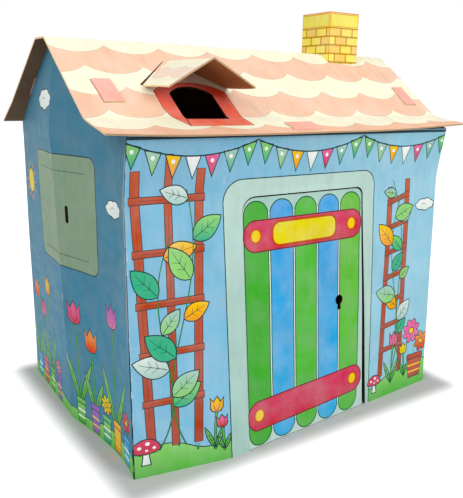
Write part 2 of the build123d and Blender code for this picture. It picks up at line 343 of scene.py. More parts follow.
def grown(points, by):
    """The shape with its outline moved out by this much."""
    p = np.asarray(turned_left(points), float)
    back = p - np.roll(p, 1, 0)
    ahead = np.roll(p, -1, 0) - p
    back /= np.maximum(np.linalg.norm(back, axis=1), 1e-9)[:, None]
    ahead /= np.maximum(np.linalg.norm(ahead, axis=1), 1e-9)[:, None]
    out = np.stack([back[:, 1] + ahead[:, 1], -back[:, 0] - ahead[:, 0]], 1)
    size = np.linalg.norm(out, axis=1)
    half_cosine = np.maximum(size / 2, 0.45)
    out /= np.maximum(size, 1e-9)[:, None]
    return [tuple(q) for q in p + out * (by / half_cosine)[:, None]]


class Print:
    """The shapes printed on one sheet, in the order in which they cover each other."""

    def __init__(self, low, high=None):
        self.shapes = [(None, low, high or low)]
        self.across = 0.0

    def fill(self, points, low, high=None):
        placed = [(x + self.across, z) for x, z in points]
        self.shapes.append((turned_left(placed), low, high or low))

    def inked(self, points, low, high=None, line=INK_LINE, ink=INK):
        """A filled shape inside an ink outline."""
        self.fill(grown(points, line), ink)
        self.fill(grown(points, -line), low, high)

    def line(self, points, width=2 * INK_LINE, end_width=None, ink=INK):
        self.fill(stroke(points, width, end_width), ink)


# Places of the folded sheets. Each place turns flat points and depths in the board into the round.
def unit(vectors):
    return vectors / np.linalg.norm(vectors, axis=-1, keepdims=True)


def turn(before, corner, after, radius):
    """The arc that rounds a corner: its two ends, its centre and the angle that it turns through."""
    back, ahead = unit(before - corner), unit(after - corner)
    half = np.arccos(np.clip((back * ahead).sum(-1), -1, 1)) / 2
    tangent = np.asarray(radius / np.tan(half))[..., None]
    centre = corner + unit(back + ahead) * np.asarray(radius / np.sin(half))[..., None]
    return corner + back * tangent, corner + ahead * tangent, centre, np.pi - 2 * half


def on_arc(arc, share):
    start, end, centre, angle = arc
    first = np.asarray(np.sin((1 - share) * angle) / np.sin(angle))[..., None]
    second = np.asarray(np.sin(share * angle) / np.sin(angle))[..., None]
    return centre + first * (start - centre) + second * (end - centre)


def between(start, end, share):
    return start + (end - start) * share[..., None]


def pair(first, second):
    return np.stack(np.broadcast_arrays(first, second), -1).astype(float)


def stretches(starts, along):
    """Each stretch that holds some places: its number, which they are, and how far past its start."""
    stretch = np.clip(np.searchsorted(starts, along, side="right") - 1, 0, len(starts) - 2)
    for number in np.unique(stretch):
        chosen = stretch == number
        yield number, chosen, along[chosen] - starts[number]


def softly(line, z):
    """A line with sharp turns, eased at its turns as board bends."""
    return (line(z - SOFT_BEND) + 2 * line(z) + line(z + SOFT_BEND)) / 4


def front_push(z):
    """How far the whole front wall is pushed in at a height."""
    def sharp(z):
        from_top = np.maximum(WALL_HEIGHT - z, 0) / (WALL_HEIGHT - FRONT_DENT_HEIGHT)
        return FRONT_DENT * np.minimum(z / FRONT_DENT_HEIGHT, from_top)
    return softly(sharp, z)


def gable_bow(z):
    """How far a gable's centre fold stands out at a height."""
    def sharp(z):
        low = GABLE_BOW_FLOOR + (GABLE_BOW_EAVE - GABLE_BOW_FLOOR) * z / WALL_HEIGHT
        rise = (z - WALL_HEIGHT) / (RIDGE_HEIGHT - WALL_HEIGHT)
        return np.where(z < WALL_HEIGHT, low, GABLE_BOW_EAVE + (GABLE_BOW_RIDGE - GABLE_BOW_EAVE) * rise)
    return softly(sharp, z)


def gable_face_x(side, y, z):
    """How far out a gable's printed face stands, on the left (-1) or the right (1)."""
    reach = HALF_DEPTH - (front_push(z) if y < 0 else 0.0)
    bow = gable_bow(z) * (1 - abs(y) / reach)
    if side < 0 and y < 0:
        t = abs(y) / HALF_DEPTH
        for _ in range(3):
            t = (abs(y) + t ** 3 * (HALF_DEPTH - reach)) / HALF_DEPTH
        dent = 3 * (1 - t) * t ** 2 * LEFT_DENT_NEAR + 3 * (1 - t) ** 2 * t * LEFT_DENT_FAR
        bow = (1 - t) ** 3 * gable_bow(z) - dent
    return side * float(HALF_LENGTH + bow)


def from_fold(distance, corner):
    """Share of the way from a gable's fold to its corner, with true distances past the window's frame."""
    full = HALF_DEPTH - FOLD_OUTER - TRUE_FROM_FOLD
    reach = np.abs(corner[:, 1])
    far = TRUE_FROM_FOLD + (distance - TRUE_FROM_FOLD) * (reach - TRUE_FROM_FOLD) / full
    return np.where(distance < TRUE_FROM_FOLD, distance, far) / reach


# Where the wall sheet's stretches start, along it from its front left corner
CORNER = FOLD_OUTER * math.pi / 2
SEAM_U = FOLD_OUTER - CORNER * 0.87
CREASE_U = CREASE_X + HALF_LENGTH
FRONT_END = 2 * HALF_LENGTH - FOLD_OUTER
RIGHT_START = FRONT_END + CORNER
RIGHT_FOLD = RIGHT_START + HALF_DEPTH - FOLD_OUTER
RIGHT_END = RIGHT_FOLD + HALF_DEPTH - FOLD_OUTER
BACK_START = RIGHT_END + CORNER
BACK_END = BACK_START + 2 * (HALF_LENGTH - FOLD_OUTER)
LEFT_START = BACK_END + CORNER
LEFT_FOLD = LEFT_START + HALF_DEPTH - FOLD_OUTER
LEFT_END = LEFT_FOLD + HALF_DEPTH - FOLD_OUTER
WALL_STARTS = [
    FOLD_OUTER - CORNER, FOLD_OUTER, CREASE_U, FRONT_END, RIGHT_START, RIGHT_FOLD,
    RIGHT_END, BACK_START, BACK_END, LEFT_START, LEFT_FOLD, LEFT_END,
]
WALL_LENGTHS = np.diff(WALL_STARTS)
HINGE_LINES = [DOOR_LEFT + HALF_LENGTH]
HINGE_LINES += [fold + side * WINDOW_HALF for fold in (RIGHT_FOLD, LEFT_FOLD) for side in (-1, 1)]


def ripple(u, z):
    """How far the walls stand out of their plain form, which fades out at the eave and at the hinges."""
    fade = np.clip((WALL_HEIGHT - WAVES_END - z) / WAVES_FADE, 0, 1)
    for hinge in HINGE_LINES:
        fade = fade * np.clip((np.abs(u - hinge) - HINGE_FLAT) / HINGE_FADE, 0, 1)
    long = np.sin(u / 97 + 1.3) * np.sin(z / 131 + 0.4) + 0.6 * np.sin(u / 61 - z / 83)
    short = 0.35 * np.sin(u / 29 + 0.7) * np.sin(z / 37 + u / 90)
    return (0.75 * long + short) * fade


def wall_place(flat, depth):
    """The wall sheet's points: along the sheet, height, and depth in the board."""
    u, z = flat[:, 0], flat[:, 1]
    inset = depth - ripple(u, z)
    made = np.zeros((len(u), 3))
    made[:, 2] = z
    for number, chosen, past in stretches(WALL_STARTS, u):
        d, h, share = inset[chosen], z[chosen], past / WALL_LENGTHS[number]
        x, y, bow = HALF_LENGTH - d, HALF_DEPTH - d, gable_bow(h)
        front = front_push(h) - y
        radius = np.maximum(FOLD_OUTER - d, LEAST_RADIUS)
        front_left, front_right = pair(-x, front), pair(x, front)
        back_right, back_left = pair(x, y), pair(-x, y)
        crease = pair(CREASE_X, front - FRONT_BOW * np.maximum(1 - h / WALL_HEIGHT, 0))
        right_fold, left_fold = pair(x + bow, 0), pair(-x - bow, 0)
        dent_far, dent_near = pair(LEFT_DENT_FAR - x, -y / 3), pair(LEFT_DENT_NEAR - x, -y * 2 / 3)
        turn_1 = turn(dent_near, front_left, crease, radius)
        turn_2 = turn(crease, front_right, right_fold, radius)
        turn_3 = turn(right_fold, back_right, back_left, radius)
        turn_4 = turn(back_right, back_left, left_fold, radius)
        plan = (
            lambda: on_arc(turn_1, share),
            lambda: between(turn_1[1], crease, share),
            lambda: between(crease, turn_2[0], share),
            lambda: on_arc(turn_2, share),
            lambda: between(right_fold, turn_2[1], from_fold(RIGHT_FOLD - u[chosen], turn_2[1])),
            lambda: between(right_fold, turn_3[0], share),
            lambda: on_arc(turn_3, share),
            lambda: between(turn_3[1], turn_4[0], share),
            lambda: on_arc(turn_4, share),
            lambda: between(turn_4[1], left_fold, share),
            lambda: bezier(left_fold, dent_far, dent_near, turn_1[0], share),
        )[number]()
        made[chosen, :2] = plan
    return made


def flare_slope(bend_rise):
    """Angle of a flared eave that clears the wall's top edge, for a bend this far above it."""
    rise = bend_rise - SEAT_GAP
    return math.acos(BOARD / math.hypot(rise, BEND_FROM_EAVE)) - math.atan2(BEND_FROM_EAVE, rise)


FRONT_FLARE, BACK_FLARE = FLARES = flare_slope(FRONT_BEND), flare_slope(BACK_BEND)
BEND_Y = HALF_DEPTH - BEND_FROM_EAVE
PITCH_RUN = BEND_Y - RIDGE_EDGE
PITCHES = [math.atan2(RIDGE_HEIGHT - WALL_HEIGHT - bend, PITCH_RUN) for bend in (FRONT_BEND, BACK_BEND)]
FRONT_PITCH = PITCHES[0]
FRONT_EAVE = WALL_HEIGHT + FRONT_BEND - (BEND_FROM_EAVE + FRONT_OVERHANG) * math.tan(FRONT_FLARE)
BACK_EAVE = WALL_HEIGHT + BACK_BEND - (BEND_FROM_EAVE + BACK_OVERHANG) * math.tan(BACK_FLARE)
ROOF_POINTS = np.array([
    (-HALF_DEPTH - FRONT_OVERHANG, FRONT_EAVE),
    (-BEND_Y, WALL_HEIGHT + FRONT_BEND),
    (-RIDGE_EDGE, RIDGE_HEIGHT),
    (RIDGE_EDGE, RIDGE_HEIGHT),
    (BEND_Y, WALL_HEIGHT + BACK_BEND),
    (HALF_DEPTH + BACK_OVERHANG, BACK_EAVE),
])


def lowered(points, drop):
    """A broken line moved down square to each of its stretches."""
    along = unit(np.diff(points, axis=0))
    shift = drop * np.stack([along[:, 1], -along[:, 0]], 1)
    line = [points[0] + shift[0]]
    for i in range(1, len(points) - 1):
        grid = np.stack([along[i - 1], -along[i]], 1)
        step = np.linalg.solve(grid, shift[i] - shift[i - 1])
        line.append(points[i] + shift[i - 1] + along[i - 1] * step[0])
    line.append(points[-1] + shift[-1])
    return np.array(line)


def roof_stretches(drop):
    """The roof line this far under its top face: straight stretches (start, end) and arcs by turns."""
    p = lowered(ROOF_POINTS, drop)
    ridge = max(RIDGE_OUTER - drop, LEAST_RADIUS)
    radii = [BEND_RADIUS + drop, ridge, ridge, BEND_RADIUS + drop]
    arcs = [turn(p[i], p[i + 1], p[i + 2], radii[i]) for i in range(4)]
    line, start = [], p[0]
    for arc in arcs:
        line += [(start, arc[0]), arc]
        start = arc[1]
    return line + [(start, p[-1])]


def length_of(stretch):
    if len(stretch) == 2:
        return float(np.linalg.norm(stretch[1] - stretch[0]))
    start, _, centre, angle = stretch
    return float(np.linalg.norm(start - centre) * angle)


ROOF_LENGTHS = [length_of(stretch) for stretch in roof_stretches(0)]
ROOF_STARTS = np.concatenate([[0], np.cumsum(ROOF_LENGTHS)]) - sum(ROOF_LENGTHS[:4]) - ROOF_LENGTHS[4] / 2
EAVE_FRONT, EAVE_BACK = ROOF_STARTS[0], ROOF_STARTS[-1]


def roof_section(s, drop):
    """Points (y, z) of the roof line, for distances along it from the middle of the ridge."""
    line = roof_stretches(drop)
    made = np.zeros((len(s), 2))
    for number, chosen, past in stretches(ROOF_STARTS, s):
        data, share = line[number], past / ROOF_LENGTHS[number]
        made[chosen] = between(*data, share) if len(data) == 2 else on_arc(data, share)
    return made


SAMPLES = np.unique(np.concatenate([ROOF_STARTS, np.linspace(EAVE_FRONT, EAVE_BACK, 400)]))


def roof_height(y, drop):
    line = roof_section(SAMPLES, drop)
    return np.interp(y, line[:, 0], line[:, 1])


def roof_sag(x, s):
    """Slight waves of the roof sheet, and its front eave lifted towards both ends."""
    near_eave = np.exp(-((s - EAVE_FRONT) / 62) ** 2)
    right_end = EAVE_LIFT_RIGHT * np.clip((x - 130) / 422, 0, 1) ** 1.6
    left_end = EAVE_LIFT_LEFT * np.clip((-300 - x) / 250, 0, 1) ** 1.6
    long = 0.65 * np.sin(x / 120 + 0.5) * np.sin(s / 95)
    return near_eave * (right_end + left_end) + 0.95 + long + 0.3 * np.sin(x / 57 + s / 70)


def roof_place(flat, depth):
    x, s = flat[:, 0], flat[:, 1]
    made = np.zeros((len(x), 3))
    made[:, 0] = x
    for drop in np.unique(depth):
        chosen = depth == drop
        made[chosen, 1:] = roof_section(s[chosen], drop)
    made[:, 2] += roof_sag(x, s)
    return made


DORMER_SLOPE = math.atan2(DORMER_RIDGE - DORMER_SIDE, DORMER_HALF)
DORMER_ARC = RIDGE_OUTER * DORMER_SLOPE
DORMER_BEND = RIDGE_OUTER * math.sin(DORMER_SLOPE)


def dormer_section(a, drop):
    """Points (x, z) of the dormer's folded sheet, for distances along it from its ridge."""
    radius = max(RIDGE_OUTER - drop, LEAST_RADIUS)
    top = DORMER_RIDGE - drop / math.cos(DORMER_SLOPE)
    far = np.abs(a)
    straight = np.maximum(far - DORMER_ARC, 0)
    angle = np.minimum(far / DORMER_ARC, 1) * DORMER_SLOPE
    centre = top - radius / math.cos(DORMER_SLOPE)
    x = radius * np.sin(angle) + straight * math.cos(DORMER_SLOPE)
    z = centre + radius * np.cos(angle) - straight * math.sin(DORMER_SLOPE)
    return pair(DORMER_X + np.sign(a) * x, z)


def dormer_back(z, drop):
    """Where a level line at this height meets the front slope of the roof, lowered by the drop."""
    return -(RIDGE_EDGE + (RIDGE_HEIGHT - z) / math.tan(FRONT_PITCH)) + drop / math.sin(FRONT_PITCH)


def dormer_place(flat, depth):
    """The dormer's points: along its sheet from the ridge, and back from its front edge as y."""
    a, y = flat[:, 0], flat[:, 1]
    made = np.zeros((len(a), 3))
    for drop in np.unique(depth):
        chosen = depth == drop
        section = dormer_section(a[chosen], drop)
        in_tongue = np.abs(np.abs(section[:, 0] - DORMER_X) - TONGUE_FROM_RIDGE) <= TONGUE_HALF + 0.01
        limit = dormer_back(section[:, 1], np.where(in_tongue, BOARD + TONGUE_DEPTH, -SEAT_GAP))
        made[chosen, 0] = section[:, 0]
        made[chosen, 1] = np.minimum(y[chosen], limit)
        made[chosen, 2] = section[:, 1]
    lift = np.clip((DORMER_FRONT + DORMER_WAVE_DEPTH - made[:, 1]) / DORMER_WAVE_DEPTH, 0, 1) ** 2
    made[:, 2] += DORMER_WAVE * lift * np.sin(a / 90 + 0.8)
    return made


CHIMNEY_SIDES = [2 * (CHIMNEY_HALF_WIDTH - FOLD_OUTER), CORNER, 2 * (CHIMNEY_HALF_DEPTH - FOLD_OUTER), CORNER]
CHIMNEY_STARTS = np.cumsum([0.0] + 2 * CHIMNEY_SIDES)
CHIMNEY_LENGTHS = np.diff(CHIMNEY_STARTS)
CHIMNEY_ROUND = CHIMNEY_STARTS[-1]


def chimney_place(flat, depth):
    """The sleeve's points: round it from the front left corner, height, and depth in the board."""
    made = np.zeros((len(flat), 3))
    made[:, 2] = flat[:, 1]
    for number, chosen, past in stretches(CHIMNEY_STARTS, flat[:, 0] % CHIMNEY_ROUND):
        d, share = depth[chosen], past / CHIMNEY_LENGTHS[number]
        w, h = CHIMNEY_HALF_WIDTH - d, CHIMNEY_HALF_DEPTH - d
        radius = np.maximum(FOLD_OUTER - d, LEAST_RADIUS)
        corners = [pair(w, -h), pair(w, h), pair(-w, h), pair(-w, -h)]
        turns = [turn(corners[i - 1], corners[i], corners[(i + 1) % 4], radius) for i in range(4)]
        side = number // 2
        straight = turns[side - 1][1], turns[side][0]
        plan = on_arc(turns[side], share) if number % 2 else between(*straight, share)
        made[chosen, :2] = plan + (CHIMNEY_X, 0)
    return made


# Meshes of folded board
PRINTED, LINER, CUT_EDGE = 0, 1, 2
EPSILON = 1e-5
SIDE_SHARE = 0.7
NORMAL_INSET = 0.03
NORMAL_STEP = 0.05
WALL_GRID = 36.0
DOOR_GRID = 30.0
SHUTTER_GRID = 24.0
ROOF_GRID = 38.0
DORMER_GRID = 24.0
CHIMNEY_GRID = 20.0


def grid_points(points, pitch, keep_off, least):
    """Points of an even grid over the box of these points, no nearer than this to any of keep_off."""
    low, high = points.min(0), points.max(0)
    counts = np.maximum(((high - low) / pitch).astype(int), 1)
    across = np.linspace(low[0], high[0], counts[0] + 1)[1:-1]
    up = np.linspace(low[1], high[1], counts[1] + 1)[1:-1]
    grid = np.array([(x, y) for x in across for y in up]).reshape(-1, 2)
    if not len(grid) or not len(keep_off):
        return grid
    nearest = np.full(len(grid), np.inf)
    for part in np.array_split(keep_off, max(len(keep_off) // 500, 1)):
        gap = np.linalg.norm(grid[:, None] - part[None], axis=2).min(1)
        nearest = np.minimum(nearest, gap)
    return grid[nearest > least]


def triangulated(loops, lines, extra):
    """Points and triangles, turned to the left, over these closed loops, lines and further points."""
    points, faces, edges = [], [], []
    for loop in loops:
        faces.append(list(range(len(points), len(points) + len(loop))))
        points += [tuple(p) for p in loop]
    for line in lines:
        first = len(points)
        points += [tuple(p) for p in line]
        edges += [(first + i, first + i + 1) for i in range(len(line) - 1)]
    points += [tuple(p) for p in extra]
    flat = [Vector((float(x), float(y))) for x, y in points]
    out = delaunay_2d_cdt(flat, edges, faces, 0, EPSILON, True)
    made = np.array([tuple(v) for v in out[0]])
    corners = np.array([tuple(f) for f in out[2]])
    a, b, c = (made[corners[:, k]] for k in range(3))
    twice = (b[:, 0] - a[:, 0]) * (c[:, 1] - a[:, 1]) - (c[:, 0] - a[:, 0]) * (b[:, 1] - a[:, 1])
    corners[twice < 0] = corners[twice < 0][:, ::-1]
    return made, corners[np.abs(twice) > 1e-7]


def within(places, loop):
    """Which of these places lie inside a closed loop."""
    start = np.asarray(loop, float)
    end = np.roll(start, -1, 0)
    near = np.flatnonzero(((places > start.min(0)) & (places < start.max(0))).all(1))
    found = np.zeros(len(places), bool)
    for part in np.array_split(near, len(near) // 4000 + 1):
        x, y = places[part, 0:1], places[part, 1:2]
        side = (end[:, 0] - start[:, 0]) * (y - start[:, 1]) - (x - start[:, 0]) * (end[:, 1] - start[:, 1])
        up = (start[:, 1] <= y) & (end[:, 1] > y) & (side > 0)
        down = (start[:, 1] > y) & (end[:, 1] <= y) & (side < 0)
        found[part] = up.sum(1) != down.sum(1)
    return found


def kept_in(loops, flat, corners):
    """The triangles inside the first loop and outside the others, and their centres."""
    centres = flat[corners].mean(1)
    inside = within(centres, loops[0])
    for hole in loops[1:]:
        inside &= ~within(centres, hole)
    return corners[inside], centres[inside]


def corner_normals(flat, triangles, centres, place, depth):
    """Outward directions of a folded sheet's printed side, just inside each corner of its triangles."""
    near = (flat[triangles] * (1 - NORMAL_INSET) + centres[:, None] * NORMAL_INSET).reshape(-1, 2)
    depths = np.full(len(near), depth)
    across = place(near + (NORMAL_STEP, 0), depths) - place(near - (NORMAL_STEP, 0), depths)
    up = place(near + (0, NORMAL_STEP), depths) - place(near - (0, NORMAL_STEP), depths)
    normal = np.cross(across, up)
    size = np.linalg.norm(normal, axis=1, keepdims=True)
    return (normal / np.maximum(size, 1e-12)).reshape(-1, 3, 3)


def key_of(point):
    return (round(float(point[0]), 3), round(float(point[1]), 3))


def rim_loops(triangles):
    """The closed loops of edges that only one triangle has, in the triangles' own direction."""
    directed = dict.fromkeys(side for a, b, c in triangles for side in ((a, b), (b, c), (c, a)))
    follow = {start: end for start, end in directed if (end, start) not in directed}
    loops = []
    while follow:
        start = next(iter(follow))
        loop = [start]
        step = follow.pop(start)
        while step != start:
            loop.append(step)
            step = follow.pop(step)
        loops.append(loop)
    return loops


def divided(points, pitch, closed=True):
    """The same outline or line with no side longer than the pitch."""
    line = []
    ends = list(points[1:]) + ([points[0]] if closed else [])
    for start, end in zip(points, ends):
        steps = int(math.dist(start, end) / pitch) + 1
        line += [between_points(start, end, k / steps) for k in range(steps)]
    return line if closed else line + [tuple(points[-1])]


def shown(name, data):
    """A new object in the scene."""
    made = bpy.data.objects.new(name, data)
    bpy.context.scene.collection.objects.link(made)
    return made


class Board:
    """Collects the faces of one sheet of board, then makes its mesh."""

    def __init__(self, liner_tint=None, edge_tint=None):
        self.points, self.faces, self.looks = [], [], []
        self.colours, self.normals, self.sheet_uv = [], [], []
        self.liner_tint = liner_tint or (lambda flat: PLAIN)
        # Unless told otherwise, the cut edges of holes get painted shade.
        self.edge_tint = edge_tint or (lambda flat, in_hole: PAINTED_HOLE_SHADE if in_hole else PLAIN)

    def add(self, points):
        self.points.append(np.asarray(points, float))
        return sum(len(p) for p in self.points) - len(points)

    def face(self, corners, look, colours, normals, uv):
        self.faces.append(corners)
        self.looks.append(look)
        self.colours.extend(colours)
        self.normals.extend(normals)
        self.sheet_uv.extend(uv)

    def folded(self, outline, holes, printed, place, pitch, folds=()):
        """One folded sheet: its printed face, its plain inner face and the cut edges between them."""
        loops = [turned_left(loop) for loop in [outline] + holes] + [shape[0] for shape in printed.shapes[1:]]
        loops = [divided(loop, pitch * SIDE_SHARE) for loop in loops]
        folds = [divided(fold, pitch * SIDE_SHARE, closed=False) for fold in folds]
        sheet, shapes = loops[:1 + len(holes)], loops[1 + len(holes):]
        ground = np.array(sheet[0])
        flat, corners = triangulated(loops, folds, grid_points(ground, pitch, np.zeros((0, 2)), 0))
        kept, centres = kept_in(sheet, flat, corners)
        tops = np.zeros(len(kept), int)
        for number, loop in enumerate(shapes):
            tops[within(centres, loop)] = number + 1
        levels = [ground[:, 1]] + [np.array(shape[0])[:, 1] for shape in printed.shapes[1:]]
        heights = [(level.min(), max(np.ptp(level), 1)) for level in levels]
        start = self.add(place(flat, np.zeros(len(flat))))
        normals = corner_normals(flat, kept, centres, place, 0.0)
        for triangle, top, normal in zip(kept, tops, normals):
            (_, low, high), (foot, rise) = printed.shapes[top], heights[top]
            colours = [between_points(low, high, (flat[i][1] - foot) / rise) for i in triangle]
            self.face(start + triangle, PRINTED, colours, normal, flat[triangle] * MM)
        loops = rim_loops(kept)
        loops.sort(key=lambda loop: -abs(area_of(flat[loop])))
        inner, back = self.lined(flat, loops, place, pitch, folds)
        self.rimmed(flat, loops, place, start, inner, back)

    def lined(self, flat, loops, place, pitch, folds):
        """The plain inner face over the same outline and holes. Returns its points and its first number."""
        rim = flat[[i for loop in loops for i in loop]]
        sides = [turned_left([tuple(p) for p in flat[loop]]) for loop in loops]
        inner, corners = triangulated(sides, folds, grid_points(rim, pitch, rim, pitch / 5))
        back = self.add(place(inner, np.full(len(inner), BOARD)))
        kept, centres = kept_in(sides, inner, corners)
        kept = kept[:, ::-1]
        normals = -corner_normals(inner, kept, centres, place, BOARD)
        for triangle, normal in zip(kept, normals):
            tints = [self.liner_tint(inner[i]) for i in triangle]
            self.face(back + triangle, LINER, tints, normal, inner[triangle] * MM)
        return inner, back

    def rimmed(self, flat, loops, place, start, inner, back):
        """The cut edges between the two faces. Their UV runs along them, above 1 where they are upright."""
        found = {key_of(p): back + i for i, p in enumerate(inner)}
        for number, loop in enumerate(loops):
            outer, under = (place(flat[loop], np.full(len(loop), depth)) for depth in (0.0, BOARD))
            along = 0.0
            for k, (i, j) in enumerate(zip(loop, loop[1:] + loop[:1])):
                p, q = found.get(key_of(flat[i])), found.get(key_of(flat[j]))
                across, up = np.abs(flat[j] - flat[i])
                run = float(np.linalg.norm(flat[j] - flat[i]))
                if p is None or q is None or run < 1e-6:
                    continue
                after = (k + 1) % len(loop)
                normal = np.cross(under[k] - outer[k], outer[after] - outer[k])
                normal = normal / max(np.linalg.norm(normal), 1e-9)
                low = 1.0 if across < up * 0.5 else 0.0
                high, first, last = low + BOARD * MM, along * MM, (along + run) * MM
                uv = [(first, low), (first, high), (last, high), (last, low)]
                tint = self.edge_tint((flat[i] + flat[j]) / 2, number > 0)
                self.face([start + i, p, q, start + j], CUT_EDGE, [tint] * 4, [normal] * 4, uv)
                along += run

    def lofted(self, rows, looks, colour_of_print):
        """A solid through rows of points, each row a section, with a look for each side of the section."""
        rows = np.asarray(rows, float)
        flat = rows.reshape(-1, 3)
        start = self.add(flat)
        count = rows.shape[1]
        last = len(flat) - count
        faces = [
            ([r + k, r + (k + 1) % count, r + count + (k + 1) % count, r + count + k], looks[k])
            for r in range(0, last, count) for k in range(count)
        ]
        faces += [(list(range(count))[::-1], CUT_EDGE), (list(range(last, last + count)), CUT_EDGE)]
        centre = flat.mean(0)
        volume = sum(
            np.dot(flat[f[0]] - centre, np.cross(flat[f[i]] - centre, flat[f[i + 1]] - centre))
            for f, _ in faces for i in range(1, len(f) - 1)
        )
        for face, look in faces:
            face = face if volume > 0 else face[::-1]
            ring = flat[face] - flat[face].mean(0)
            normal = np.cross(ring, np.roll(ring, -1, 0)).sum(0)
            normal = tuple(normal / max(np.linalg.norm(normal), 1e-9))
            shade = colour_of_print if look == PRINTED else PLAIN
            uv = [(float(flat[i][0] + flat[i][1]) * MM, float(flat[i][2]) * MM) for i in face]
            self.face([start + i for i in face], look, [shade] * len(face), [normal] * len(face), uv)

    def made(self, name, body, node, slot):
        points = np.concatenate(self.points) * MM
        points[:, 1] += HOUSE_Y * MM
        used = np.unique(np.concatenate([np.array(f) for f in self.faces]))
        number = np.full(len(points), -1)
        number[used] = np.arange(len(used))
        mesh = bpy.data.meshes.new(name)
        faces = [[int(number[i]) for i in f] for f in self.faces]
        mesh.from_pydata([tuple(p) for p in points[used]], [], faces)
        for look in LOOKS:
            mesh.materials.append(look)
        mesh.polygons.foreach_set("material_index", self.looks)
        mesh.polygons.foreach_set("use_smooth", [True] * len(faces))
        shades = mesh.color_attributes.new(name="print", type="FLOAT_COLOR", domain="CORNER")
        shades.data.foreach_set("color", np.array([(*c, 1.0) for c in self.colours], np.float32).ravel())
        layer = mesh.uv_layers.new(name="sheet")
        layer.data.foreach_set("uv", np.array(self.sheet_uv, np.float32).ravel())
        mesh.normals_split_custom_set([Vector(n) for n in self.normals])
        piece = shown(name, mesh)
        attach(piece, body)
        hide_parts(node)
        return piece


# Board materials
def feed(tree, socket, value):
    """Links an output to a socket, or gives the socket a constant."""
    if isinstance(value, bpy.types.NodeSocket):
        tree.links.new(value, socket)
    else:
        socket.default_value = (*value, 1.0) if socket.type == "RGBA" else value


def node(tree, kind, inputs=None, **settings):
    """A new node with these settings, and with a constant or another node's output at these inputs."""
    made = tree.nodes.new(kind)
    for name, value in settings.items():
        setattr(made, name, value)
    for name, value in (inputs or {}).items():
        feed(tree, made.inputs[name], value)
    return made


def noise(tree, at, scale, detail=3.0):
    inputs = {"Vector": at, "Scale": scale, "Detail": detail, "Roughness": 0.55}
    return node(tree, "ShaderNodeTexNoise", inputs).outputs["Fac"]


def stretched(tree, at, scale, turn_by=0.0):
    inputs = {"Vector": at, "Scale": scale, "Rotation": (0, 0, turn_by)}
    return node(tree, "ShaderNodeMapping", inputs).outputs["Vector"]


def ramp(tree, value, low, high, dark, light):
    """A value spread from one grey to another as it goes from low to high."""
    inputs = {"Value": value, "From Min": low, "From Max": high, "To Min": dark, "To Max": light}
    return node(tree, "ShaderNodeMapRange", inputs, clamp=True).outputs["Result"]


def combined(tree, kind, *values):
    return node(tree, "ShaderNodeMath", dict(enumerate(values)), operation=kind).outputs["Value"]


def mixed(tree, kind, share, first, second):
    inputs = {0: share, 6: first, 7: second}
    return node(tree, "ShaderNodeMix", inputs, data_type="RGBA", blend_type=kind).outputs[2]


def started(name, roughness, specular=0.12):
    """A new material, its node tree and its shader."""
    made = bpy.data.materials.new(name)
    made.use_nodes = True
    shader = made.node_tree.nodes["Principled BSDF"]
    shader.inputs["Roughness"].default_value = roughness
    shader.inputs["Specular IOR Level"].default_value = specular
    return made, made.node_tree, shader


def bumped(tree, shader, height, distance):
    bump = node(tree, "ShaderNodeBump", {"Strength": 1.0, "Distance": distance, "Height": height})
    feed(tree, shader.inputs["Normal"], bump.outputs["Normal"])


def sheet_places(tree):
    """The sheet's coordinates in metres, whole, across the flutes and along them."""
    at = node(tree, "ShaderNodeUVMap", uv_map="sheet").outputs["UV"]
    split = node(tree, "ShaderNodeSeparateXYZ", {"Vector": at})
    return at, split.outputs["X"], split.outputs["Y"]


def flutes(tree, across, reach):
    """A wave across the flutes of the board, this far to both sides of a half."""
    angle = combined(tree, "MULTIPLY", across, math.tau / FLUTE)
    return combined(tree, "MULTIPLY_ADD", combined(tree, "SINE", angle), reach, 0.5)


def own_colour(tree):
    return node(tree, "ShaderNodeAttribute", attribute_name="print").outputs["Color"]


def tinted(tree, shader, shade):
    """Makes the shade, times the colour that the mesh holds, the shader's colour."""
    feed(tree, shader.inputs["Base Color"], mixed(tree, "MULTIPLY", 1.0, shade, own_colour(tree)))


def printed_look():
    """Hand-coloured print on white-lined board: washes, brush streaks, paper grain and a hint of flutes."""
    made, tree, shader = started("printed_board", 0.5)
    at, across, _ = sheet_places(tree)
    value = ramp(tree, noise(tree, at, 9.0, 4.0), 0.3, 0.7, 0.93, 1.04)
    streak = ramp(tree, noise(tree, stretched(tree, at, (60.0, 5.0, 1.0)), 1.0), 0.3, 0.72, 0.955, 1.025)
    grain = ramp(tree, noise(tree, at, 900.0, 2.0), 0.3, 0.7, 0.985, 1.015)
    patch = ramp(tree, noise(tree, stretched(tree, at, (26.0, 11.0, 1.0)), 1.0, 2.0), 0.55, 0.75, 1.0, 0.93)
    for part in (streak, grain, patch):
        value = combined(tree, "MULTIPLY", value, part)
    depth = ramp(tree, noise(tree, at, 14.0), 0.3, 0.7, 0.9, 1.12)
    inputs = {"Color": own_colour(tree), "Value": value, "Saturation": depth}
    tone = node(tree, "ShaderNodeHueSaturation", inputs)
    feed(tree, shader.inputs["Base Color"], tone.outputs["Color"])
    feed(tree, shader.inputs["Roughness"], ramp(tree, noise(tree, at, 40.0), 0.3, 0.7, 0.42, 0.6))
    wave = combined(tree, "MULTIPLY", flutes(tree, across, 0.5), 0.6)
    fine = combined(tree, "MULTIPLY", noise(tree, at, 1400.0, 2.0), 0.5)
    bumped(tree, shader, combined(tree, "ADD", wave, fine), 0.00012)
    return made


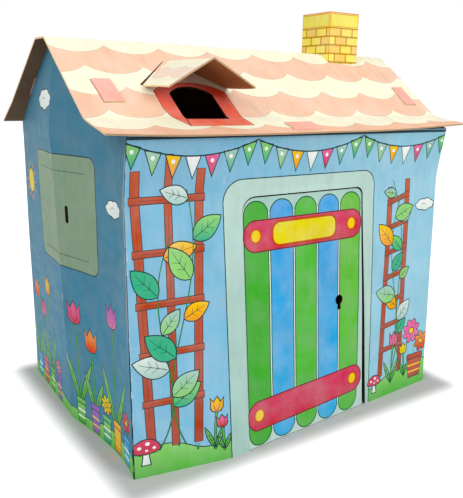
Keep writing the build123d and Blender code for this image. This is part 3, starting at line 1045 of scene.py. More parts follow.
def liner_look():
    """Plain brown liner on the inside, with fibres and the flutes showing through."""
    made, tree, shader = started("kraft_liner", 0.82)
    at, across, _ = sheet_places(tree)
    fibre = noise(tree, stretched(tree, at, (420.0, 60.0, 1.0), 0.15), 1.0, 4.0)
    cloudy = ramp(tree, noise(tree, at, 7.0, 4.0), 0.3, 0.7, 0.0, 1.0)
    wave = flutes(tree, across, 0.5)
    shade = mixed(tree, "MIX", cloudy, KRAFT_DARK, KRAFT_LIGHT)
    shade = mixed(tree, "MIX", ramp(tree, fibre, 0.4, 0.75, 0.0, 0.5), shade, KRAFT_FIBRE)
    shade = mixed(tree, "MULTIPLY", ramp(tree, wave, 0.0, 1.0, 0.0, 0.22), shade, KRAFT_FLUTE)
    tinted(tree, shader, shade)
    parts = combined(tree, "MULTIPLY", wave, 0.8), combined(tree, "MULTIPLY", fibre, 0.4)
    bumped(tree, shader, combined(tree, "ADD", *parts), 0.0002)
    return made


def cut_look():
    """Cut edge of the board: two liners with a waved core between them, or a torn edge along the flutes."""
    made, tree, shader = started("cut_edge", 0.88)
    at, along, place = sheet_places(tree)
    upright_edge = combined(tree, "GREATER_THAN", place, 0.5)
    depth = combined(tree, "DIVIDE", combined(tree, "SUBTRACT", place, upright_edge), BOARD * MM)
    lines = flutes(tree, along, 0.34), 0.5
    off_core, off_middle = (combined(tree, "ABSOLUTE", combined(tree, "SUBTRACT", depth, x)) for x in lines)
    core = ramp(tree, off_core, 0.1, 0.2, 1.0, 0.0)
    liners = ramp(tree, off_middle, 0.36, 0.42, 0.0, 1.0)
    solid = combined(tree, "MAXIMUM", combined(tree, "MAXIMUM", core, liners), upright_edge)
    rough = noise(tree, at, 600.0)
    light = mixed(tree, "MIX", ramp(tree, rough, 0.35, 0.7, 0.0, 1.0), CUT_LIGHT, CUT_DARK)
    # Between the waved core and the liners the edge is painted darker, as shade in the flutes' open channels.
    tinted(tree, shader, mixed(tree, "MIX", solid, FLUTE_GAP_SHADE, light))
    bumped(tree, shader, combined(tree, "ADD", solid, combined(tree, "MULTIPLY", rough, 0.4)), 0.0006)
    return made


LOOKS = [printed_look(), liner_look(), cut_look()]


# Motifs of the print
LEAF_SHADES = [(TEAL, LEAF), (MINT, PALE), (LEAF, MINT), (TEAL, TEAL), (ORANGE, GOLD), (LEAF, LEAF)]
FLAG_SHADES = [(TEAL, LEAF), (LEAF, MINT), (ORANGE, GOLD), (PALE, WHITE), (ROSE, PINK), (TEAL, MINT)]
POT_SHADES = [(BLUE, BLUE), (ROSE, PINK), (GREEN, LEAF), (PURPLE, PURPLE), (TEAL, LEAF), (ORANGE, GOLD)]
FLAG_COUNT = 7
CORD_DROP = 34


def leaf(p, x, z, length, width, angle, low, high):
    t = np.linspace(0, 1, 12)
    half = width / 2 * np.sin(np.pi * t ** 0.82) ** 0.85
    edge = [(float(a), float(b)) for a, b in zip(half, t * length)]
    edge += [(-float(a), float(b)) for a, b in zip(half[::-1][1:-1], (t * length)[::-1][1:-1])]
    p.inked(moved(edge, x, z, angle), low, high)
    rib = [(0, 0.06), (0.05, 0.3), (-0.05, 0.6), (0, 0.84)]
    p.line(moved(curve(*[(a * width, b * length) for a, b in rib], 7), x, z, angle), 1.8, 0.9)
    for share in (0.3, 0.5):
        for side in (-1, 1):
            vein = [(0, share * length), (side * 0.13 * width, (share + 0.08) * length)]
            vein.append((side * 0.27 * width, (share + 0.13) * length))
            p.line(moved(vein, x, z, angle), 1.3, 0.7)


def tulip(p, x, foot, height, size, low, high, lean=0.0):
    top = foot + height
    lead, follow = (x, foot + height * 0.4), (x + lean * 0.6, foot + height * 0.7)
    stem = curve((x, foot), lead, follow, (x + lean, top), 9)
    p.fill(grown(stroke(stem, 5.0), INK_LINE), INK)
    p.fill(stroke(stem, 4.4), GREEN, GREEN_HIGH)
    for side in (-1, 1):
        leaf(p, x + side * 1.5, foot + 4, height * 0.62, size * 0.34, -side * 24, GREEN, LEAF)
    cup = [(0.0, 0.0), (0.3, 0.06), (0.47, 0.3), (0.45, 0.6), (0.5, 1.0), (0.26, 0.72), (0.0, 1.08)]
    cup += [(-a, b) for a, b in cup[5:0:-1]]
    p.inked(moved(cup, x + lean, top - size * 0.12, -lean * 0.5, size), low, high)
    for side in (-1, 1):
        fold = curve((0.0, 0.1), (side * 0.2, 0.2), (side * 0.22, 0.5), (side * 0.22, 0.68), 6)
        p.line(moved(fold, x + lean, top - size * 0.12, -lean * 0.5, size), 1.6, 0.8)


def daisy(p, x, z, size, low, high, petals=7, twist=0.0):
    ring = []
    for i in range(petals * 8):
        a = math.tau * i / (petals * 8)
        r = size * (0.62 + 0.38 * abs(math.sin(a * petals / 2)) ** 0.7)
        ring.append((r * math.cos(a + twist), r * math.sin(a + twist)))
    p.inked(moved(ring, x, z), low, high)
    for i in range(petals):
        a = math.tau * (i + 0.5) / petals + twist
        p.line([(x + size * r * math.cos(a), z + size * r * math.sin(a)) for r in (0.36, 0.5, 0.7)], 1.4, 0.7)
    p.inked(ellipse(x, z, size * 0.27, size * 0.27), GOLD, YELLOW)


def toadstool(p, x, foot, size):
    stalk = [(-0.16, 0), (0.16, 0), (0.11, 0.3), (0.12, 0.62), (-0.12, 0.62), (-0.11, 0.3)]
    p.inked(moved(stalk, x, foot, 0, size), PALE, WHITE)
    cap = [(0.5 * math.cos(a), 0.5 + 0.42 * math.sin(a)) for a in np.linspace(0, math.pi, 18)]
    cap += [(-0.34, 0.42), (0.0, 0.38), (0.34, 0.42)]
    p.inked(moved(cap, x, foot, 0, size), ROSE, ROSE_HIGH)
    for dx, dz, r in ((-0.22, 0.64, 0.07), (0.06, 0.75, 0.08), (0.28, 0.58, 0.06), (0.02, 0.52, 0.05)):
        p.fill(ellipse(x + dx * size, foot + dz * size, r * size, r * size * 0.8, 0, 16), WHITE)


def pot(p, x, foot, width, height, low, high, stripe):
    half, top = width / 2, foot + height
    body = [(x - half * 0.7, foot), (x + half * 0.7, foot), (x + half * 0.94, top), (x - half * 0.94, top)]
    p.inked(body, low, high)
    for share in (0.3, 0.62):
        level, reach = foot + height * share, half * (0.7 + 0.24 * share)
        p.fill(box(x - reach, level - 2.5, x + reach, level + 2.5), stripe)
    p.inked(rounded_box(x - half, top - 3, x + half, foot + height * 1.22, 3), low, high)


def cloud(p, x, z, width):
    ring = []
    for i in range(60):
        a = math.tau * i / 60
        r = 0.42 + 0.08 * abs(math.sin(a * 3.5 + 0.4)) ** 0.6
        ring.append((r * math.cos(a), 0.46 * r * math.sin(a) + (0.03 if math.sin(a) < -0.4 else 0)))
    p.inked(moved(ring, x, z, 0, width), PALE, WHITE)
    swirl = [(0.11 * math.cos(a), 0.05 * math.sin(a)) for a in np.linspace(0.3, 3.3, 9)]
    p.line(moved(swirl, x - 0.08 * width, z, 0, width), 1.8, 1.0)


def swags(p):
    """Three strings of pennants under the eave."""
    ends = [(-512, 768), (-168, 764), (170, 766), (512, 768)]
    for start, end in zip(ends, ends[1:]):
        cord = []
        for a in np.linspace(0, 1, 4 * FLAG_COUNT + 1):
            x, z = between_points(start, end, a)
            cord.append((x, z - 4 * CORD_DROP * a * (1 - a)))
        for i in range(FLAG_COUNT):
            left, tip, right = cord[4 * i + 1:4 * i + 4]
            wide = right[0] - left[0]
            flag = [(left[0] - 0.3 * wide, left[1]), (tip[0], tip[1] - 2.05 * wide)]
            flag.append((right[0] + 0.3 * wide, right[1]))
            p.inked(flag, *FLAG_SHADES[i % len(FLAG_SHADES)])
            p.fill(ellipse(tip[0], tip[1] - 0.55 * wide, 0.2 * wide, 0.2 * wide, 0, 16), WHITE)
        p.line(cord, 3.2)


def slat(p, start, end, width):
    line = curve(start, between_points(start, end, 0.33), between_points(start, end, 0.67), end, 5)
    p.fill(grown(stroke(line, width), INK_LINE * 0.8), INK)
    p.fill(stroke(line, width - INK_LINE), RUST, RUST_HIGH)
    p.line(between_line(start, end, 0.12, 0.8), 1.0, 0.6, SLAT_GRAIN)


def rungs(p, left, right, shares, past, width, rise=0.0):
    """Slats across two posts, each of which is given by its foot and its top."""
    for share in shares:
        start, end = between_points(*left, share), between_points(*right, share)
        slat(p, (start[0] - past, start[1]), (end[0] + past, end[1] + rise), width)


def vine(p, stem, first, step, length, width, first_shade=0):
    """A stem along a curve, with leaves by turns on its two sides."""
    line = curve(*stem, 30)
    p.line(line, 4.2, 2.4, VINE_STEM)
    run = np.concatenate([[0], np.cumsum(np.linalg.norm(np.diff(line, axis=0), axis=1))])
    at, number = first, 0
    while at < run[-1]:
        x, z = np.interp(at, run, line[:, 0]), np.interp(at, run, line[:, 1])
        i = min(int(np.searchsorted(run, at)), len(line) - 1)
        dx, dz = line[i] - line[i - 1]
        heading = math.degrees(math.atan2(dz, dx)) - 90
        side = 1 if number % 2 else -1
        size = 1 + 0.16 * math.sin(number * 2.3)
        angle = heading + side * (52 + 10 * math.sin(number * 1.7))
        low, high = LEAF_SHADES[(number + first_shade) % len(LEAF_SHADES)]
        leaf(p, x, z, length * size, width * size, angle, low, high)
        at += step
        number += 1


def hill(p, left, right, heights):
    xs = np.linspace(left, right, len(heights))
    fine = np.linspace(left, right, 6 * len(heights))
    tops = np.interp(fine, xs, heights) + 5 * np.sin(fine / 23)
    ring = [(left, -20.0), (right, -20.0)] + [(float(x), float(z)) for x, z in zip(fine[::-1], tops[::-1])]
    p.inked(ring, GREEN, LEAF)
    for x, z in list(zip(fine, tops))[3:-3:4]:
        for lean in (-5, 0, 5):
            blade = [(x + lean * 0.3, z - 8), (x + lean * 0.6, z + 3), (x + lean * 1.4, z + 13)]
            p.line(blade, 2.6, 0.6, BLADE)


# The print on the walls
SKY_FOOT = -40
SUNNY_FROM = -250.0
SUNNY_TO = 240.0
SUNNY_STEPS = 14
TRELLIS_LEFT = ((-455, 62), (-478, 704)), ((-342, 62), (-318, 704))
TRELLIS_MIDDLE = (-398, 66), (-398, 738)
TRELLIS_RIGHT = ((286, 66), (304, 620)), ((372, 66), (372, 640))


def sunny_sky(p):
    """The sky over the front grows paler towards the right, in steps too small to see."""
    width = SUNNY_TO - SUNNY_FROM
    for k in range(1, SUNNY_STEPS + 1):
        low = between_points(SKY, SUNNY_SKY, k / SUNNY_STEPS)
        high = between_points(SKY_HIGH, SUNNY_SKY_HIGH, k / SUNNY_STEPS)
        left = SUNNY_FROM + width * (k - 1) / (SUNNY_STEPS - 1)
        right = left + width / (SUNNY_STEPS - 1) if k < SUNNY_STEPS else RIGHT_START - HALF_LENGTH
        p.fill(box(left, SKY_FOOT, right, 800), low, high)


def front_print(p):
    p.across = HALF_LENGTH
    sunny_sky(p)
    hill(p, -520, -250, [62, 74, 52, 40])
    hill(p, 232, 520, [40, 58, 84, 70])
    p.inked(rounded_box(-258, SKY_FOOT, 238, 673, [0, 0, 46, 54]), MINT, MINT_HIGH)
    for post in TRELLIS_LEFT:
        slat(p, *post, 21)
    slat(p, *TRELLIS_MIDDLE, 18)
    rungs(p, *TRELLIS_LEFT, (0.18, 0.36, 0.54, 0.72, 0.9), 14, 16)
    vine(p, ((-438, 60), (-330, 220), (-500, 360), (-392, 560)), 110, 88, 84, 48)
    vine(p, ((-372, 60), (-470, 260), (-290, 400), (-352, 660)), 130, 92, 86, 50, 2)
    toadstool(p, -470, 30, 70)
    tulip(p, -300, 34, 96, 36, ORANGE, GOLD, 6)
    tulip(p, -276, 26, 62, 30, RED, PINK, -4)
    for post in TRELLIS_RIGHT:
        slat(p, *post, 18)
    rungs(p, *TRELLIS_RIGHT, np.linspace(0.14, 0.92, 7), 8, 14, 4)
    vine(p, ((382, 70), (296, 230), (420, 420), (312, 640)), 120, 84, 58, 34, 3)
    vine(p, ((330, 60), (420, 250), (250, 380), (350, 600)), 170, 78, 76, 46, 1)
    pot(p, 446, 26, 74, 62, RUST, RUST_HIGH, GOLD)
    daisy(p, 424, 178, 38, PINK, PINK, 8)
    p.line(curve((440, 102), (438, 120), (430, 130), (429, 146), 6), 3.0, 2.0, GREEN)
    daisy(p, 472, 136, 32, RED, ORANGE, 7, 0.3)
    toadstool(p, 262, 22, 58)
    tulip(p, 334, 34, 120, 40, PINK, ROSE_HIGH, 8)
    tulip(p, 396, 40, 76, 34, YELLOW, GOLD, -6)
    cloud(p, 452, 560, 84)
    swags(p)
    # A painted shadow along the top of the walls, under the eave
    p.line([(-505, 773), (0, 773), (505, 773)], 7.0, None, EAVE_SHADOW_LINE)
    crease_marks(p, CREASE_X, 0, WALL_HEIGHT)
    # Painted shade in the seam at the front left corner: a dark slit low down and a thinner dark line above
    # it
    seam = [(0.4 - HALF_LENGTH, z) for z in (-20.0, 180.0, 330.0, WALL_HEIGHT)]
    p.line(seam[:3], 5.5, 2.4, SEAM_SLIT_SHADE)
    p.line(seam[2:], 2.4, 2.4, SEAM_SHADE_LINE)
    for turns in range(3):
        crease_marks(p, turns * 0.8 - HALF_LENGTH + 1.2, 0, WALL_HEIGHT)


def crease_marks(p, x, low, high):
    """Short pale marks where the print has cracked along a fold."""
    z = low + 20
    while z < high - 30:
        run = random.uniform(6, 26)
        if random.random() < 0.45:
            wobble = [(x + random.uniform(-0.5, 0.5), z + run * k / 3) for k in range(4)]
            p.line(wobble, random.uniform(0.5, 1.1), 0.3, WHITE)
        z += run + random.uniform(10, 60)


def sun(p, x, z, radius):
    for i in range(12):
        a = math.tau * i / 12
        reaches = (radius * 1.2, radius * 1.5, radius * 1.75)
        p.line([(x + r * math.cos(a), z + r * math.sin(a)) for r in reaches], 5.5, 2.0, ORANGE)
    p.inked(ellipse(x, z, radius, radius), GOLD, YELLOW)


def tulips(p, foot, size, lean, flowers):
    for x, height, low, high in flowers:
        tulip(p, x, foot, height, size, low, high, lean)


def potted_row(p, xs, first_shade, foot):
    for i, x in enumerate(xs):
        low, high = POT_SHADES[(i + first_shade) % len(POT_SHADES)]
        pot(p, x, foot, 44, 58 + 8 * (i % 2), low, high, GOLD if i % 2 else WHITE)


def gable_ground(p, fold, past_corner, low, high, heights):
    """A deeper sky from corner to corner of one gable, its hills and the frame of its window."""
    p.across = fold
    half = HALF_DEPTH - FOLD_OUTER + past_corner
    p.fill(box(-half, SKY_FOOT, half, 1040), low, high)
    hill(p, -370, 370, heights)
    p.inked(rounded_box(-165, 432, 165, 716, 26), WINDOW_MINT, WINDOW_MINT)


def near_gable_print(p):
    """The left gable: to the right of its fold is the panel beside the front wall."""
    # The near gable's darker sky is painted shade.
    gable_ground(p, LEFT_FOLD, 2.4, SHADED_GABLE_SKY, SHADED_GABLE_SKY_HIGH, [46, 34, 52, 40, 30, 44, 54, 36])
    tulips(p, 60, 52, 6, [(-300, 210, RED, ORANGE), (-232, 168, PINK, ROSE_HIGH), (-170, 250, ORANGE, GOLD)])
    tulips(p, 60, 58, -7, [(52, 230, ROSE, PINK), (122, 172, RED, ORANGE), (232, 268, PINK, PURPLE)])
    potted_row(p, (-300, -236, -170, -104), 0, 8)
    potted_row(p, (52, 122, 180, 238, 298), 2, 6)
    daisy(p, 180, 108, 26, GOLD, YELLOW, 8)
    daisy(p, 298, 112, 28, RED, ROSE_HIGH, 7, 0.2)
    daisy(p, -104, 106, 24, PINK, PINK, 8)
    sun(p, -262, 618, 34)
    cloud(p, 262, 610, 96)
    cloud(p, -60, 842, 120)
    crease_marks(p, 0, 30, 900)


def far_gable_print(p):
    gable_ground(p, RIGHT_FOLD, 0.0, FAR_SKY, FAR_SKY_HIGH, [40, 54, 36, 48, 30, 56, 44])
    tulips(p, 46, 54, 5, [(-290, 190, PINK, ROSE_HIGH), (-212, 250, ORANGE, GOLD), (-120, 150, RED, ORANGE)])
    tulips(p, 46, 54, -5, [(110, 200, YELLOW, GOLD), (190, 260, ROSE, PINK), (284, 170, PURPLE, PINK)])
    for x in (-250, -40, 40, 240):
        toadstool(p, x, 34, 64)
    for x, z, width in ((250, 640, 110), (-250, 560, 90), (30, 850, 120)):
        cloud(p, x, z, width)
    crease_marks(p, 0, 30, 900)


def back_print(p):
    p.across = (BACK_START + BACK_END) / 2
    hill(p, -520, 520, [50, 66, 40, 60, 84, 62, 44, 58, 72, 48])
    for x in (-330, 330):
        for side in (-1, 1):
            slat(p, (x + side * 50, 50), (x + side * 74, 560), 13)
        for level in range(120, 521, 100):
            reach = 50 + (level - 50) * 0.047 + 14
            slat(p, (x - reach, level), (x + reach, level), 10)
        vine(p, ((x - 30, 50), (x + 90, 220), (x - 100, 340), (x + 10, 540)), 60, 60, 60, 35)
    for i, x in enumerate(range(-220, 240, 62)):
        low, high = ((RED, ORANGE), (PINK, ROSE_HIGH), (ORANGE, GOLD))[i % 3]
        tulip(p, x, 48, 120 + 46 * (i % 3), 46, low, high, 5 - 10 * (i % 2))
    cloud(p, -90, 560, 150)
    cloud(p, 150, 640, 110)
    swags(p)


# The walls
def corner_line(points, radii, count=8):
    """A closed outline whose corners are rounded where a radius is given."""
    p = np.array(points, float)
    line = []
    for i, radius in enumerate(radii):
        if radius <= 0:
            line.append(tuple(p[i]))
            continue
        arc = turn(p[i - 1], p[i], p[(i + 1) % len(p)], radius)
        line += [tuple(q) for q in on_arc(arc, np.linspace(0, 1, count + 1))]
    return line


def gable_top(count=5):
    """Points (y, z) of the gables' sloping edges, from the front wall to the back wall."""
    s = [EAVE_FRONT]
    for i, length in enumerate(ROOF_LENGTHS):
        steps = count if i % 2 else 1
        s += [ROOF_STARTS[i] + length * (k + 1) / steps for k in range(steps)]
    line = roof_section(np.array(s), BOARD + SEAT_GAP)
    limit = HALF_DEPTH - FOLD_OUTER
    first, last = ((y, float(np.interp(y, line[:, 0], line[:, 1]))) for y in (-limit, limit))
    return [first] + [tuple(q) for q in line if abs(q[0]) < limit] + [last]


WALL_LAST = LEFT_END - (SEAM_GAP - FOLD_OUTER + BOARD)


def wall_outline():
    top = gable_top()
    line = [(SEAM_U, 0.0), (WALL_LAST, 0.0), (WALL_LAST, top[0][1])]
    line += [(LEFT_FOLD - y, z) for y, z in top[1:]]
    line += [(RIGHT_FOLD + y, z) for y, z in reversed(top)]
    return line + [(FRONT_END, WALL_HEIGHT), (SEAM_U, WALL_HEIGHT)]


def jamb_x(z):
    """The doorway's free side, which leans outwards towards the floor."""
    return DOOR_RIGHT + DOORWAY_FLARE * (1 - z / DOOR_TOP)


def door_shape(left, low, low_right, top_right, top):
    """An outline on the front wall, with the doorway's rounded upper corners."""
    corners = [(left, low), (low_right, low), (top_right, top), (left, top)]
    line = corner_line(corners, [0, 0, DOOR_FREE_CORNER, DOOR_HINGE_CORNER])
    return [(x + HALF_LENGTH, z) for x, z in line]


def window_hole(fold):
    return box(fold - WINDOW_HALF, WINDOW_SILL, fold + WINDOW_HALF, WINDOW_TOP)


def upright(u, low=-60.0, high=1100.0):
    return [(u, low), (u, high)]


WALL_FOLDS = [upright(u) for u in WALL_STARTS[1:-1]]
WALL_FOLDS += [
    upright(start + CORNER * share)
    for start in (FOLD_OUTER - CORNER, FRONT_END, RIGHT_END, BACK_END) for share in (0.25, 0.5, 0.75)
]
BEND_LEVELS = [FRONT_DENT_HEIGHT + SOFT_BEND * k for k in (-1, 0, 1)] + [WALL_HEIGHT - SOFT_BEND]
WALL_FOLDS += [[(-60.0, z), (LEFT_END + 60, z)] for z in BEND_LEVELS]


def lap_rows():
    """Sections of the sheet's last strip, folded in behind the near gable panel, from low to high."""
    start = BOARD + SEAT_GAP
    left, front = start - HALF_LENGTH, BOARD - HALF_DEPTH
    rows = []
    for z in np.linspace(LAP_END, WALL_HEIGHT - LAP_END, 11):
        push = float(front_push(z))
        ys = np.linspace(front + start, front + LAP_WIDTH, 5) + push
        outer = [(gable_face_x(-1, y, z) + start, y, z) for y in ys]
        inner = [(x + BOARD, y, z) for x, y, z in reversed(outer)]
        rows.append([(left, front + push, z)] + outer + inner + [(left + BOARD, front + push, z)])
    return rows


def sag_at(x, y):
    line = roof_section(SAMPLES, 0)
    return roof_sag(x, np.interp(y, line[:, 0], SAMPLES))


def tab_section(reach, count=4):
    """Section of a tab: inwards from the printed face and up from the roof, and the looks of its sides."""
    low, high = SEAT_GAP, SEAT_GAP + BOARD
    radius = FOLD_OUTER - 1
    angles = np.linspace(math.pi, math.pi / 2, count + 1)
    outer = [(0.0, -TAB_ROOT)]
    outer += [(radius + radius * math.cos(a), high - radius + radius * math.sin(a)) for a in angles]
    looks = [PRINTED] * len(outer) + [CUT_EDGE, LINER, LINER, CUT_EDGE]
    return outer + [(reach, high), (reach, low), (BOARD, low), (BOARD, -TAB_ROOT)], looks


def on_slope(side, from_ridge):
    """A place (y, z) this far down a slope from the edge of the ridge."""
    pitch = PITCHES[side > 0]
    return side * (RIDGE_EDGE + from_ridge * math.cos(pitch)), RIDGE_HEIGHT - from_ridge * math.sin(pitch)


def gable_tab_rows(end, side):
    section, looks = tab_section(GABLE_TAB_FLAP)
    pitch = PITCHES[side > 0]
    out, up = side * math.sin(pitch), math.cos(pitch)
    rows = []
    for from_ridge in np.linspace(GABLE_TAB_START, GABLE_TAB_START + GABLE_TAB_LENGTH, 7):
        y, z = on_slope(side, from_ridge)
        face = gable_face_x(end, y, z)
        rows.append([
            (face - end * a, y + h * out, z + h * up + float(sag_at(face - end * a, y)))
            for a, h in section
        ])
    return rows, looks


def eave_tab_rows(side):
    section, looks = tab_section(EAVE_TAB_FLAP)
    slope = FLARES[side > 0]
    foot = float(roof_height(side * HALF_DEPTH, 0))
    rows = []
    for x in np.linspace(EAVE_TAB_LEFT, EAVE_TAB_LEFT + EAVE_TAB_WIDTH, 5):
        row = []
        for a, h in section:
            run = a * math.cos(slope) if a > BOARD else a
            lift = run * math.tan(slope) + h / math.cos(slope)
            y = side * (HALF_DEPTH - run)
            row.append((x, y, foot + lift + float(sag_at(x, y))))
        rows.append(row)
    return rows, looks


def wall_edge_tint(flat, in_hole):
    """The doorway and the windows have cut edges painted nearly black as shade, and the sheet's own outline
    has plain ones.
    """
    in_doorway = 1 < flat[1] < DOOR_TOP + 1 and 10 < flat[0] < FRONT_END
    return PAINTED_HOLE_SHADE if in_hole or in_doorway else PLAIN


def make_walls():
    sheet = Print(SKY, SKY_HIGH)
    back_print(sheet)
    far_gable_print(sheet)
    near_gable_print(sheet)
    front_print(sheet)
    board = Board(edge_tint=wall_edge_tint)
    doorway = door_shape(DOOR_LEFT, DOORWAY_FOOT, jamb_x(DOORWAY_FOOT), DOOR_RIGHT, DOOR_TOP)
    holes = [doorway, window_hole(RIGHT_FOLD), window_hole(LEFT_FOLD)]
    board.folded(wall_outline(), holes, sheet, wall_place, WALL_GRID, WALL_FOLDS)
    board.lofted(lap_rows(), [PRINTED] * 5 + [CUT_EDGE] + [LINER] * 5 + [CUT_EDGE], SKY)
    for side in (-1, 1):
        for end in (-1, 1):
            board.lofted(*gable_tab_rows(end, side), TAB_PINK)
        board.lofted(*eave_tab_rows(side), TAB_PINK)
    return board.made("walls", "house", "wall_sheet", "wall_print")


# The door
def door_outline():
    top = DOOR_TOP - DOOR_GAP_OVER
    low_right, top_right = jamb_x(DOOR_FOOT) - DOOR_GAP_LOW, jamb_x(top) - DOOR_GAP_HIGH
    return door_shape(DOOR_LEFT + SCORE_GAP, DOOR_FOOT, low_right, top_right, top)


def keyhole():
    slant = math.asin(KEYHOLE_TAIL / KEYHOLE_RADIUS)
    angles = np.linspace(slant - math.pi / 2, 1.5 * math.pi - slant, 22)
    x = KEYHOLE_X + HALF_LENGTH
    line = [(x + KEYHOLE_RADIUS * math.cos(a), KEYHOLE_Z + KEYHOLE_RADIUS * math.sin(a)) for a in angles]
    return line + [(x - KEYHOLE_TAIL, KEYHOLE_FOOT), (x + KEYHOLE_TAIL, KEYHOLE_FOOT)]


PLANK_WIDTH = 73.0
PLANK_GAP = 5.6
PLANK_LOW = 5.0
PLANK_HIGH = 618.0
PLANK_SHADES = [
    (GREEN, GREEN), (BLUE, BLUE_HIGH), (GREEN_HIGH, GREEN_HIGH), (BLUE, BLUE_HIGH), (GREEN_HIGH, GREEN_SUNNY),
]
RAIL_HEIGHT = 76.0


def door_print():
    p = Print(MINT_HIGH, MINT)
    p.across = HALF_LENGTH
    left = DOOR_LEFT + 3
    for i, (low, high) in enumerate(PLANK_SHADES):
        x = left + i * (PLANK_WIDTH + PLANK_GAP)
        if i:
            p.fill(box(x - PLANK_GAP + 1.4, 40, x - 1.4, 590), WHITE)
        plank = rounded_box(x, PLANK_LOW, x + PLANK_WIDTH, PLANK_HIGH, PLANK_WIDTH / 2 - 2)
        p.inked(plank, low, high, 1.5, PLANK_LINE)
    rail(p, (left - 1, 496), (190, 496), plate=True)
    rail(p, (left - 1, 42), (203, 57), plate=False)
    return p


def rail(p, start, end, plate):
    """A painted rail across the planks, from its lower left to its lower right corner."""
    length, middle = math.dist(start, end), RAIL_HEIGHT / 2
    angle = math.degrees(math.atan2(end[1] - start[1], end[0] - start[0]))
    bar = rounded_box(0, 0, length, RAIL_HEIGHT, middle - 3), ROSE, ROSE_HIGH, 1.6, RAIL_EDGE
    inner = rounded_box(5, 5, length - 5, RAIL_HEIGHT - 5, middle - 7), ROSE, ROSE_HIGH, 0.5, RAIL_LINE
    parts = [bar, inner]
    if plate:
        for inset, line, ink in ((0, 2.2, RAIL_LINE), (3, 1.0, PLATE_LINE)):
            low, high = middle - 30 + inset, middle + 31 - inset
            shape = rounded_box(86 + inset, low, length - 92 - inset, high, 24 - inset)
            parts.append((shape, YELLOW, YELLOW, line, ink))
    for shape, *shades in parts:
        p.inked(moved(shape, *start, angle), *shades)
    for x in (36, length - 36):
        p.inked(moved(ellipse(x, middle, 16.5, 17.5), *start, angle), PLATE_LINE, ORANGE, 1.2, RAIL_LINE)
        p.fill(moved(ellipse(x, middle, 12.0, 13.5), *start, angle), GOLD, YELLOW)


def make_door():
    board = Board()
    board.folded(door_outline(), [keyhole()], door_print(), wall_place, DOOR_GRID)
    return board.made("door", "door", "door_flap", "door_print")


# The shutters
def make_shutter(end, side):
    fold, across = LEFT_FOLD if end < 0 else RIGHT_FOLD, side * end
    left, right = sorted(fold + across * edge for edge in (CUT_GAP / 2, WINDOW_HALF - SCORE_GAP))
    holes = []
    if side < 0:
        x, middle = fold + across * FINGER_SLOT_FROM_FOLD, (WINDOW_SILL + WINDOW_TOP) / 2
        wide, tall = FINGER_SLOT[0] / 2, FINGER_SLOT[1] / 2
        holes.append(rounded_box(x - wide, middle - tall, x + wide, middle + tall, wide - 0.5))
    board = Board()
    outline = box(left, WINDOW_SILL + CUT_GAP, right, WINDOW_TOP - CUT_GAP)
    board.folded(outline, holes, Print(WINDOW_MINT), wall_place, SHUTTER_GRID)
    name = ("left" if end < 0 else "right") + ("_front" if side < 0 else "_back") + "_shutter"
    return board.made(name + "_leaf", name, name, "shutter_print")


# The roof
SCALLOP_PITCH = 146.5
SCALLOP_SAG = 30.0
SCALLOP_ROWS = (55.0, 135.0, 215.0, 295.0, 375.0)
SCALLOP_FIRST = -415.0
ARCH_FRAME_LEFT = -352.0
ARCH_FRAME_RIGHT = -156.0
RIDGE_LENGTH = ROOF_LENGTHS[4] / 2


def lobe(t):
    """How far a scallop hangs at this share of its width, from 0 to 1."""
    return (4 * t * (1 - t)) ** 0.8


def scallops(level, first, side):
    """One row's lower edge across the roof, with cusps towards the ridge."""
    line = []
    x = first - 2 * SCALLOP_PITCH
    while x < ROOF_END + SCALLOP_PITCH:
        for t in (k / 12 for k in range(12)):
            line.append((x + SCALLOP_PITCH * t, side * (level + SCALLOP_SAG * lobe(t))))
        x += SCALLOP_PITCH
    return line


def roof_print():
    p = Print(SALMON_WARM, SALMON)
    for number, level in reversed(list(enumerate(SCALLOP_ROWS))):
        first, shade = (SCALLOP_FIRST - SCALLOP_PITCH / 2, SALMON) if number % 2 else (SCALLOP_FIRST, CREAM)
        front, back = scallops(level, first, -1), scallops(level, first, 1)[::-1]
        for past, tint in ((1.2, SCALLOP_LINE), (-0.6, shade)):
            p.fill([(x, s - past) for x, s in front] + [(x, s + past) for x, s in back], tint)
    arch = curve((ARCH_FRAME_RIGHT, -228), (-196, -182), (-308, -182), (ARCH_FRAME_LEFT, -228), 16)
    frame = [(-329.0, -381.0), (ARCH_FRAME_RIGHT, -379.0), (ARCH_FRAME_RIGHT, -232.0)]
    frame += [tuple(q) for q in arch] + [(ARCH_FRAME_LEFT - 1, -290.0)]
    p.inked(frame, CORAL, CORAL_HIGH, 1.2, CORAL_LINE)
    corner = (DORMER_X - ARCH_HALF, slope_s(-1, ARCH_FOOT))
    p.line(between_line(corner, (-328.0, -380.0), 0.0, 1.0), 2.4, None, ARCH_LINE)
    low, high = ((RIDGE_HEIGHT - z) / math.sin(FRONT_PITCH) for z in (DORMER_SIDE, DORMER_RIDGE))
    # A painted shadow on the roof along the dormer's back left edge
    hood_shadow = [(DORMER_X - DORMER_HALF - 3, slope_s(-1, low) + 1), (DORMER_X - 10, slope_s(-1, high) + 4)]
    p.line(between_line(*hood_shadow, 0.0, 0.9), 6.0, 2.0, DORMER_EDGE_SHADOW)
    return p


def slope_s(side, from_ridge):
    """Distance along the roof sheet of a place this far down a slope from the edge of the ridge."""
    turned = ROOF_LENGTHS[3] if side < 0 else ROOF_LENGTHS[5]
    return side * (RIDGE_LENGTH + turned - RIDGE_OUTER * math.tan(PITCHES[side > 0] / 2) + from_ridge)


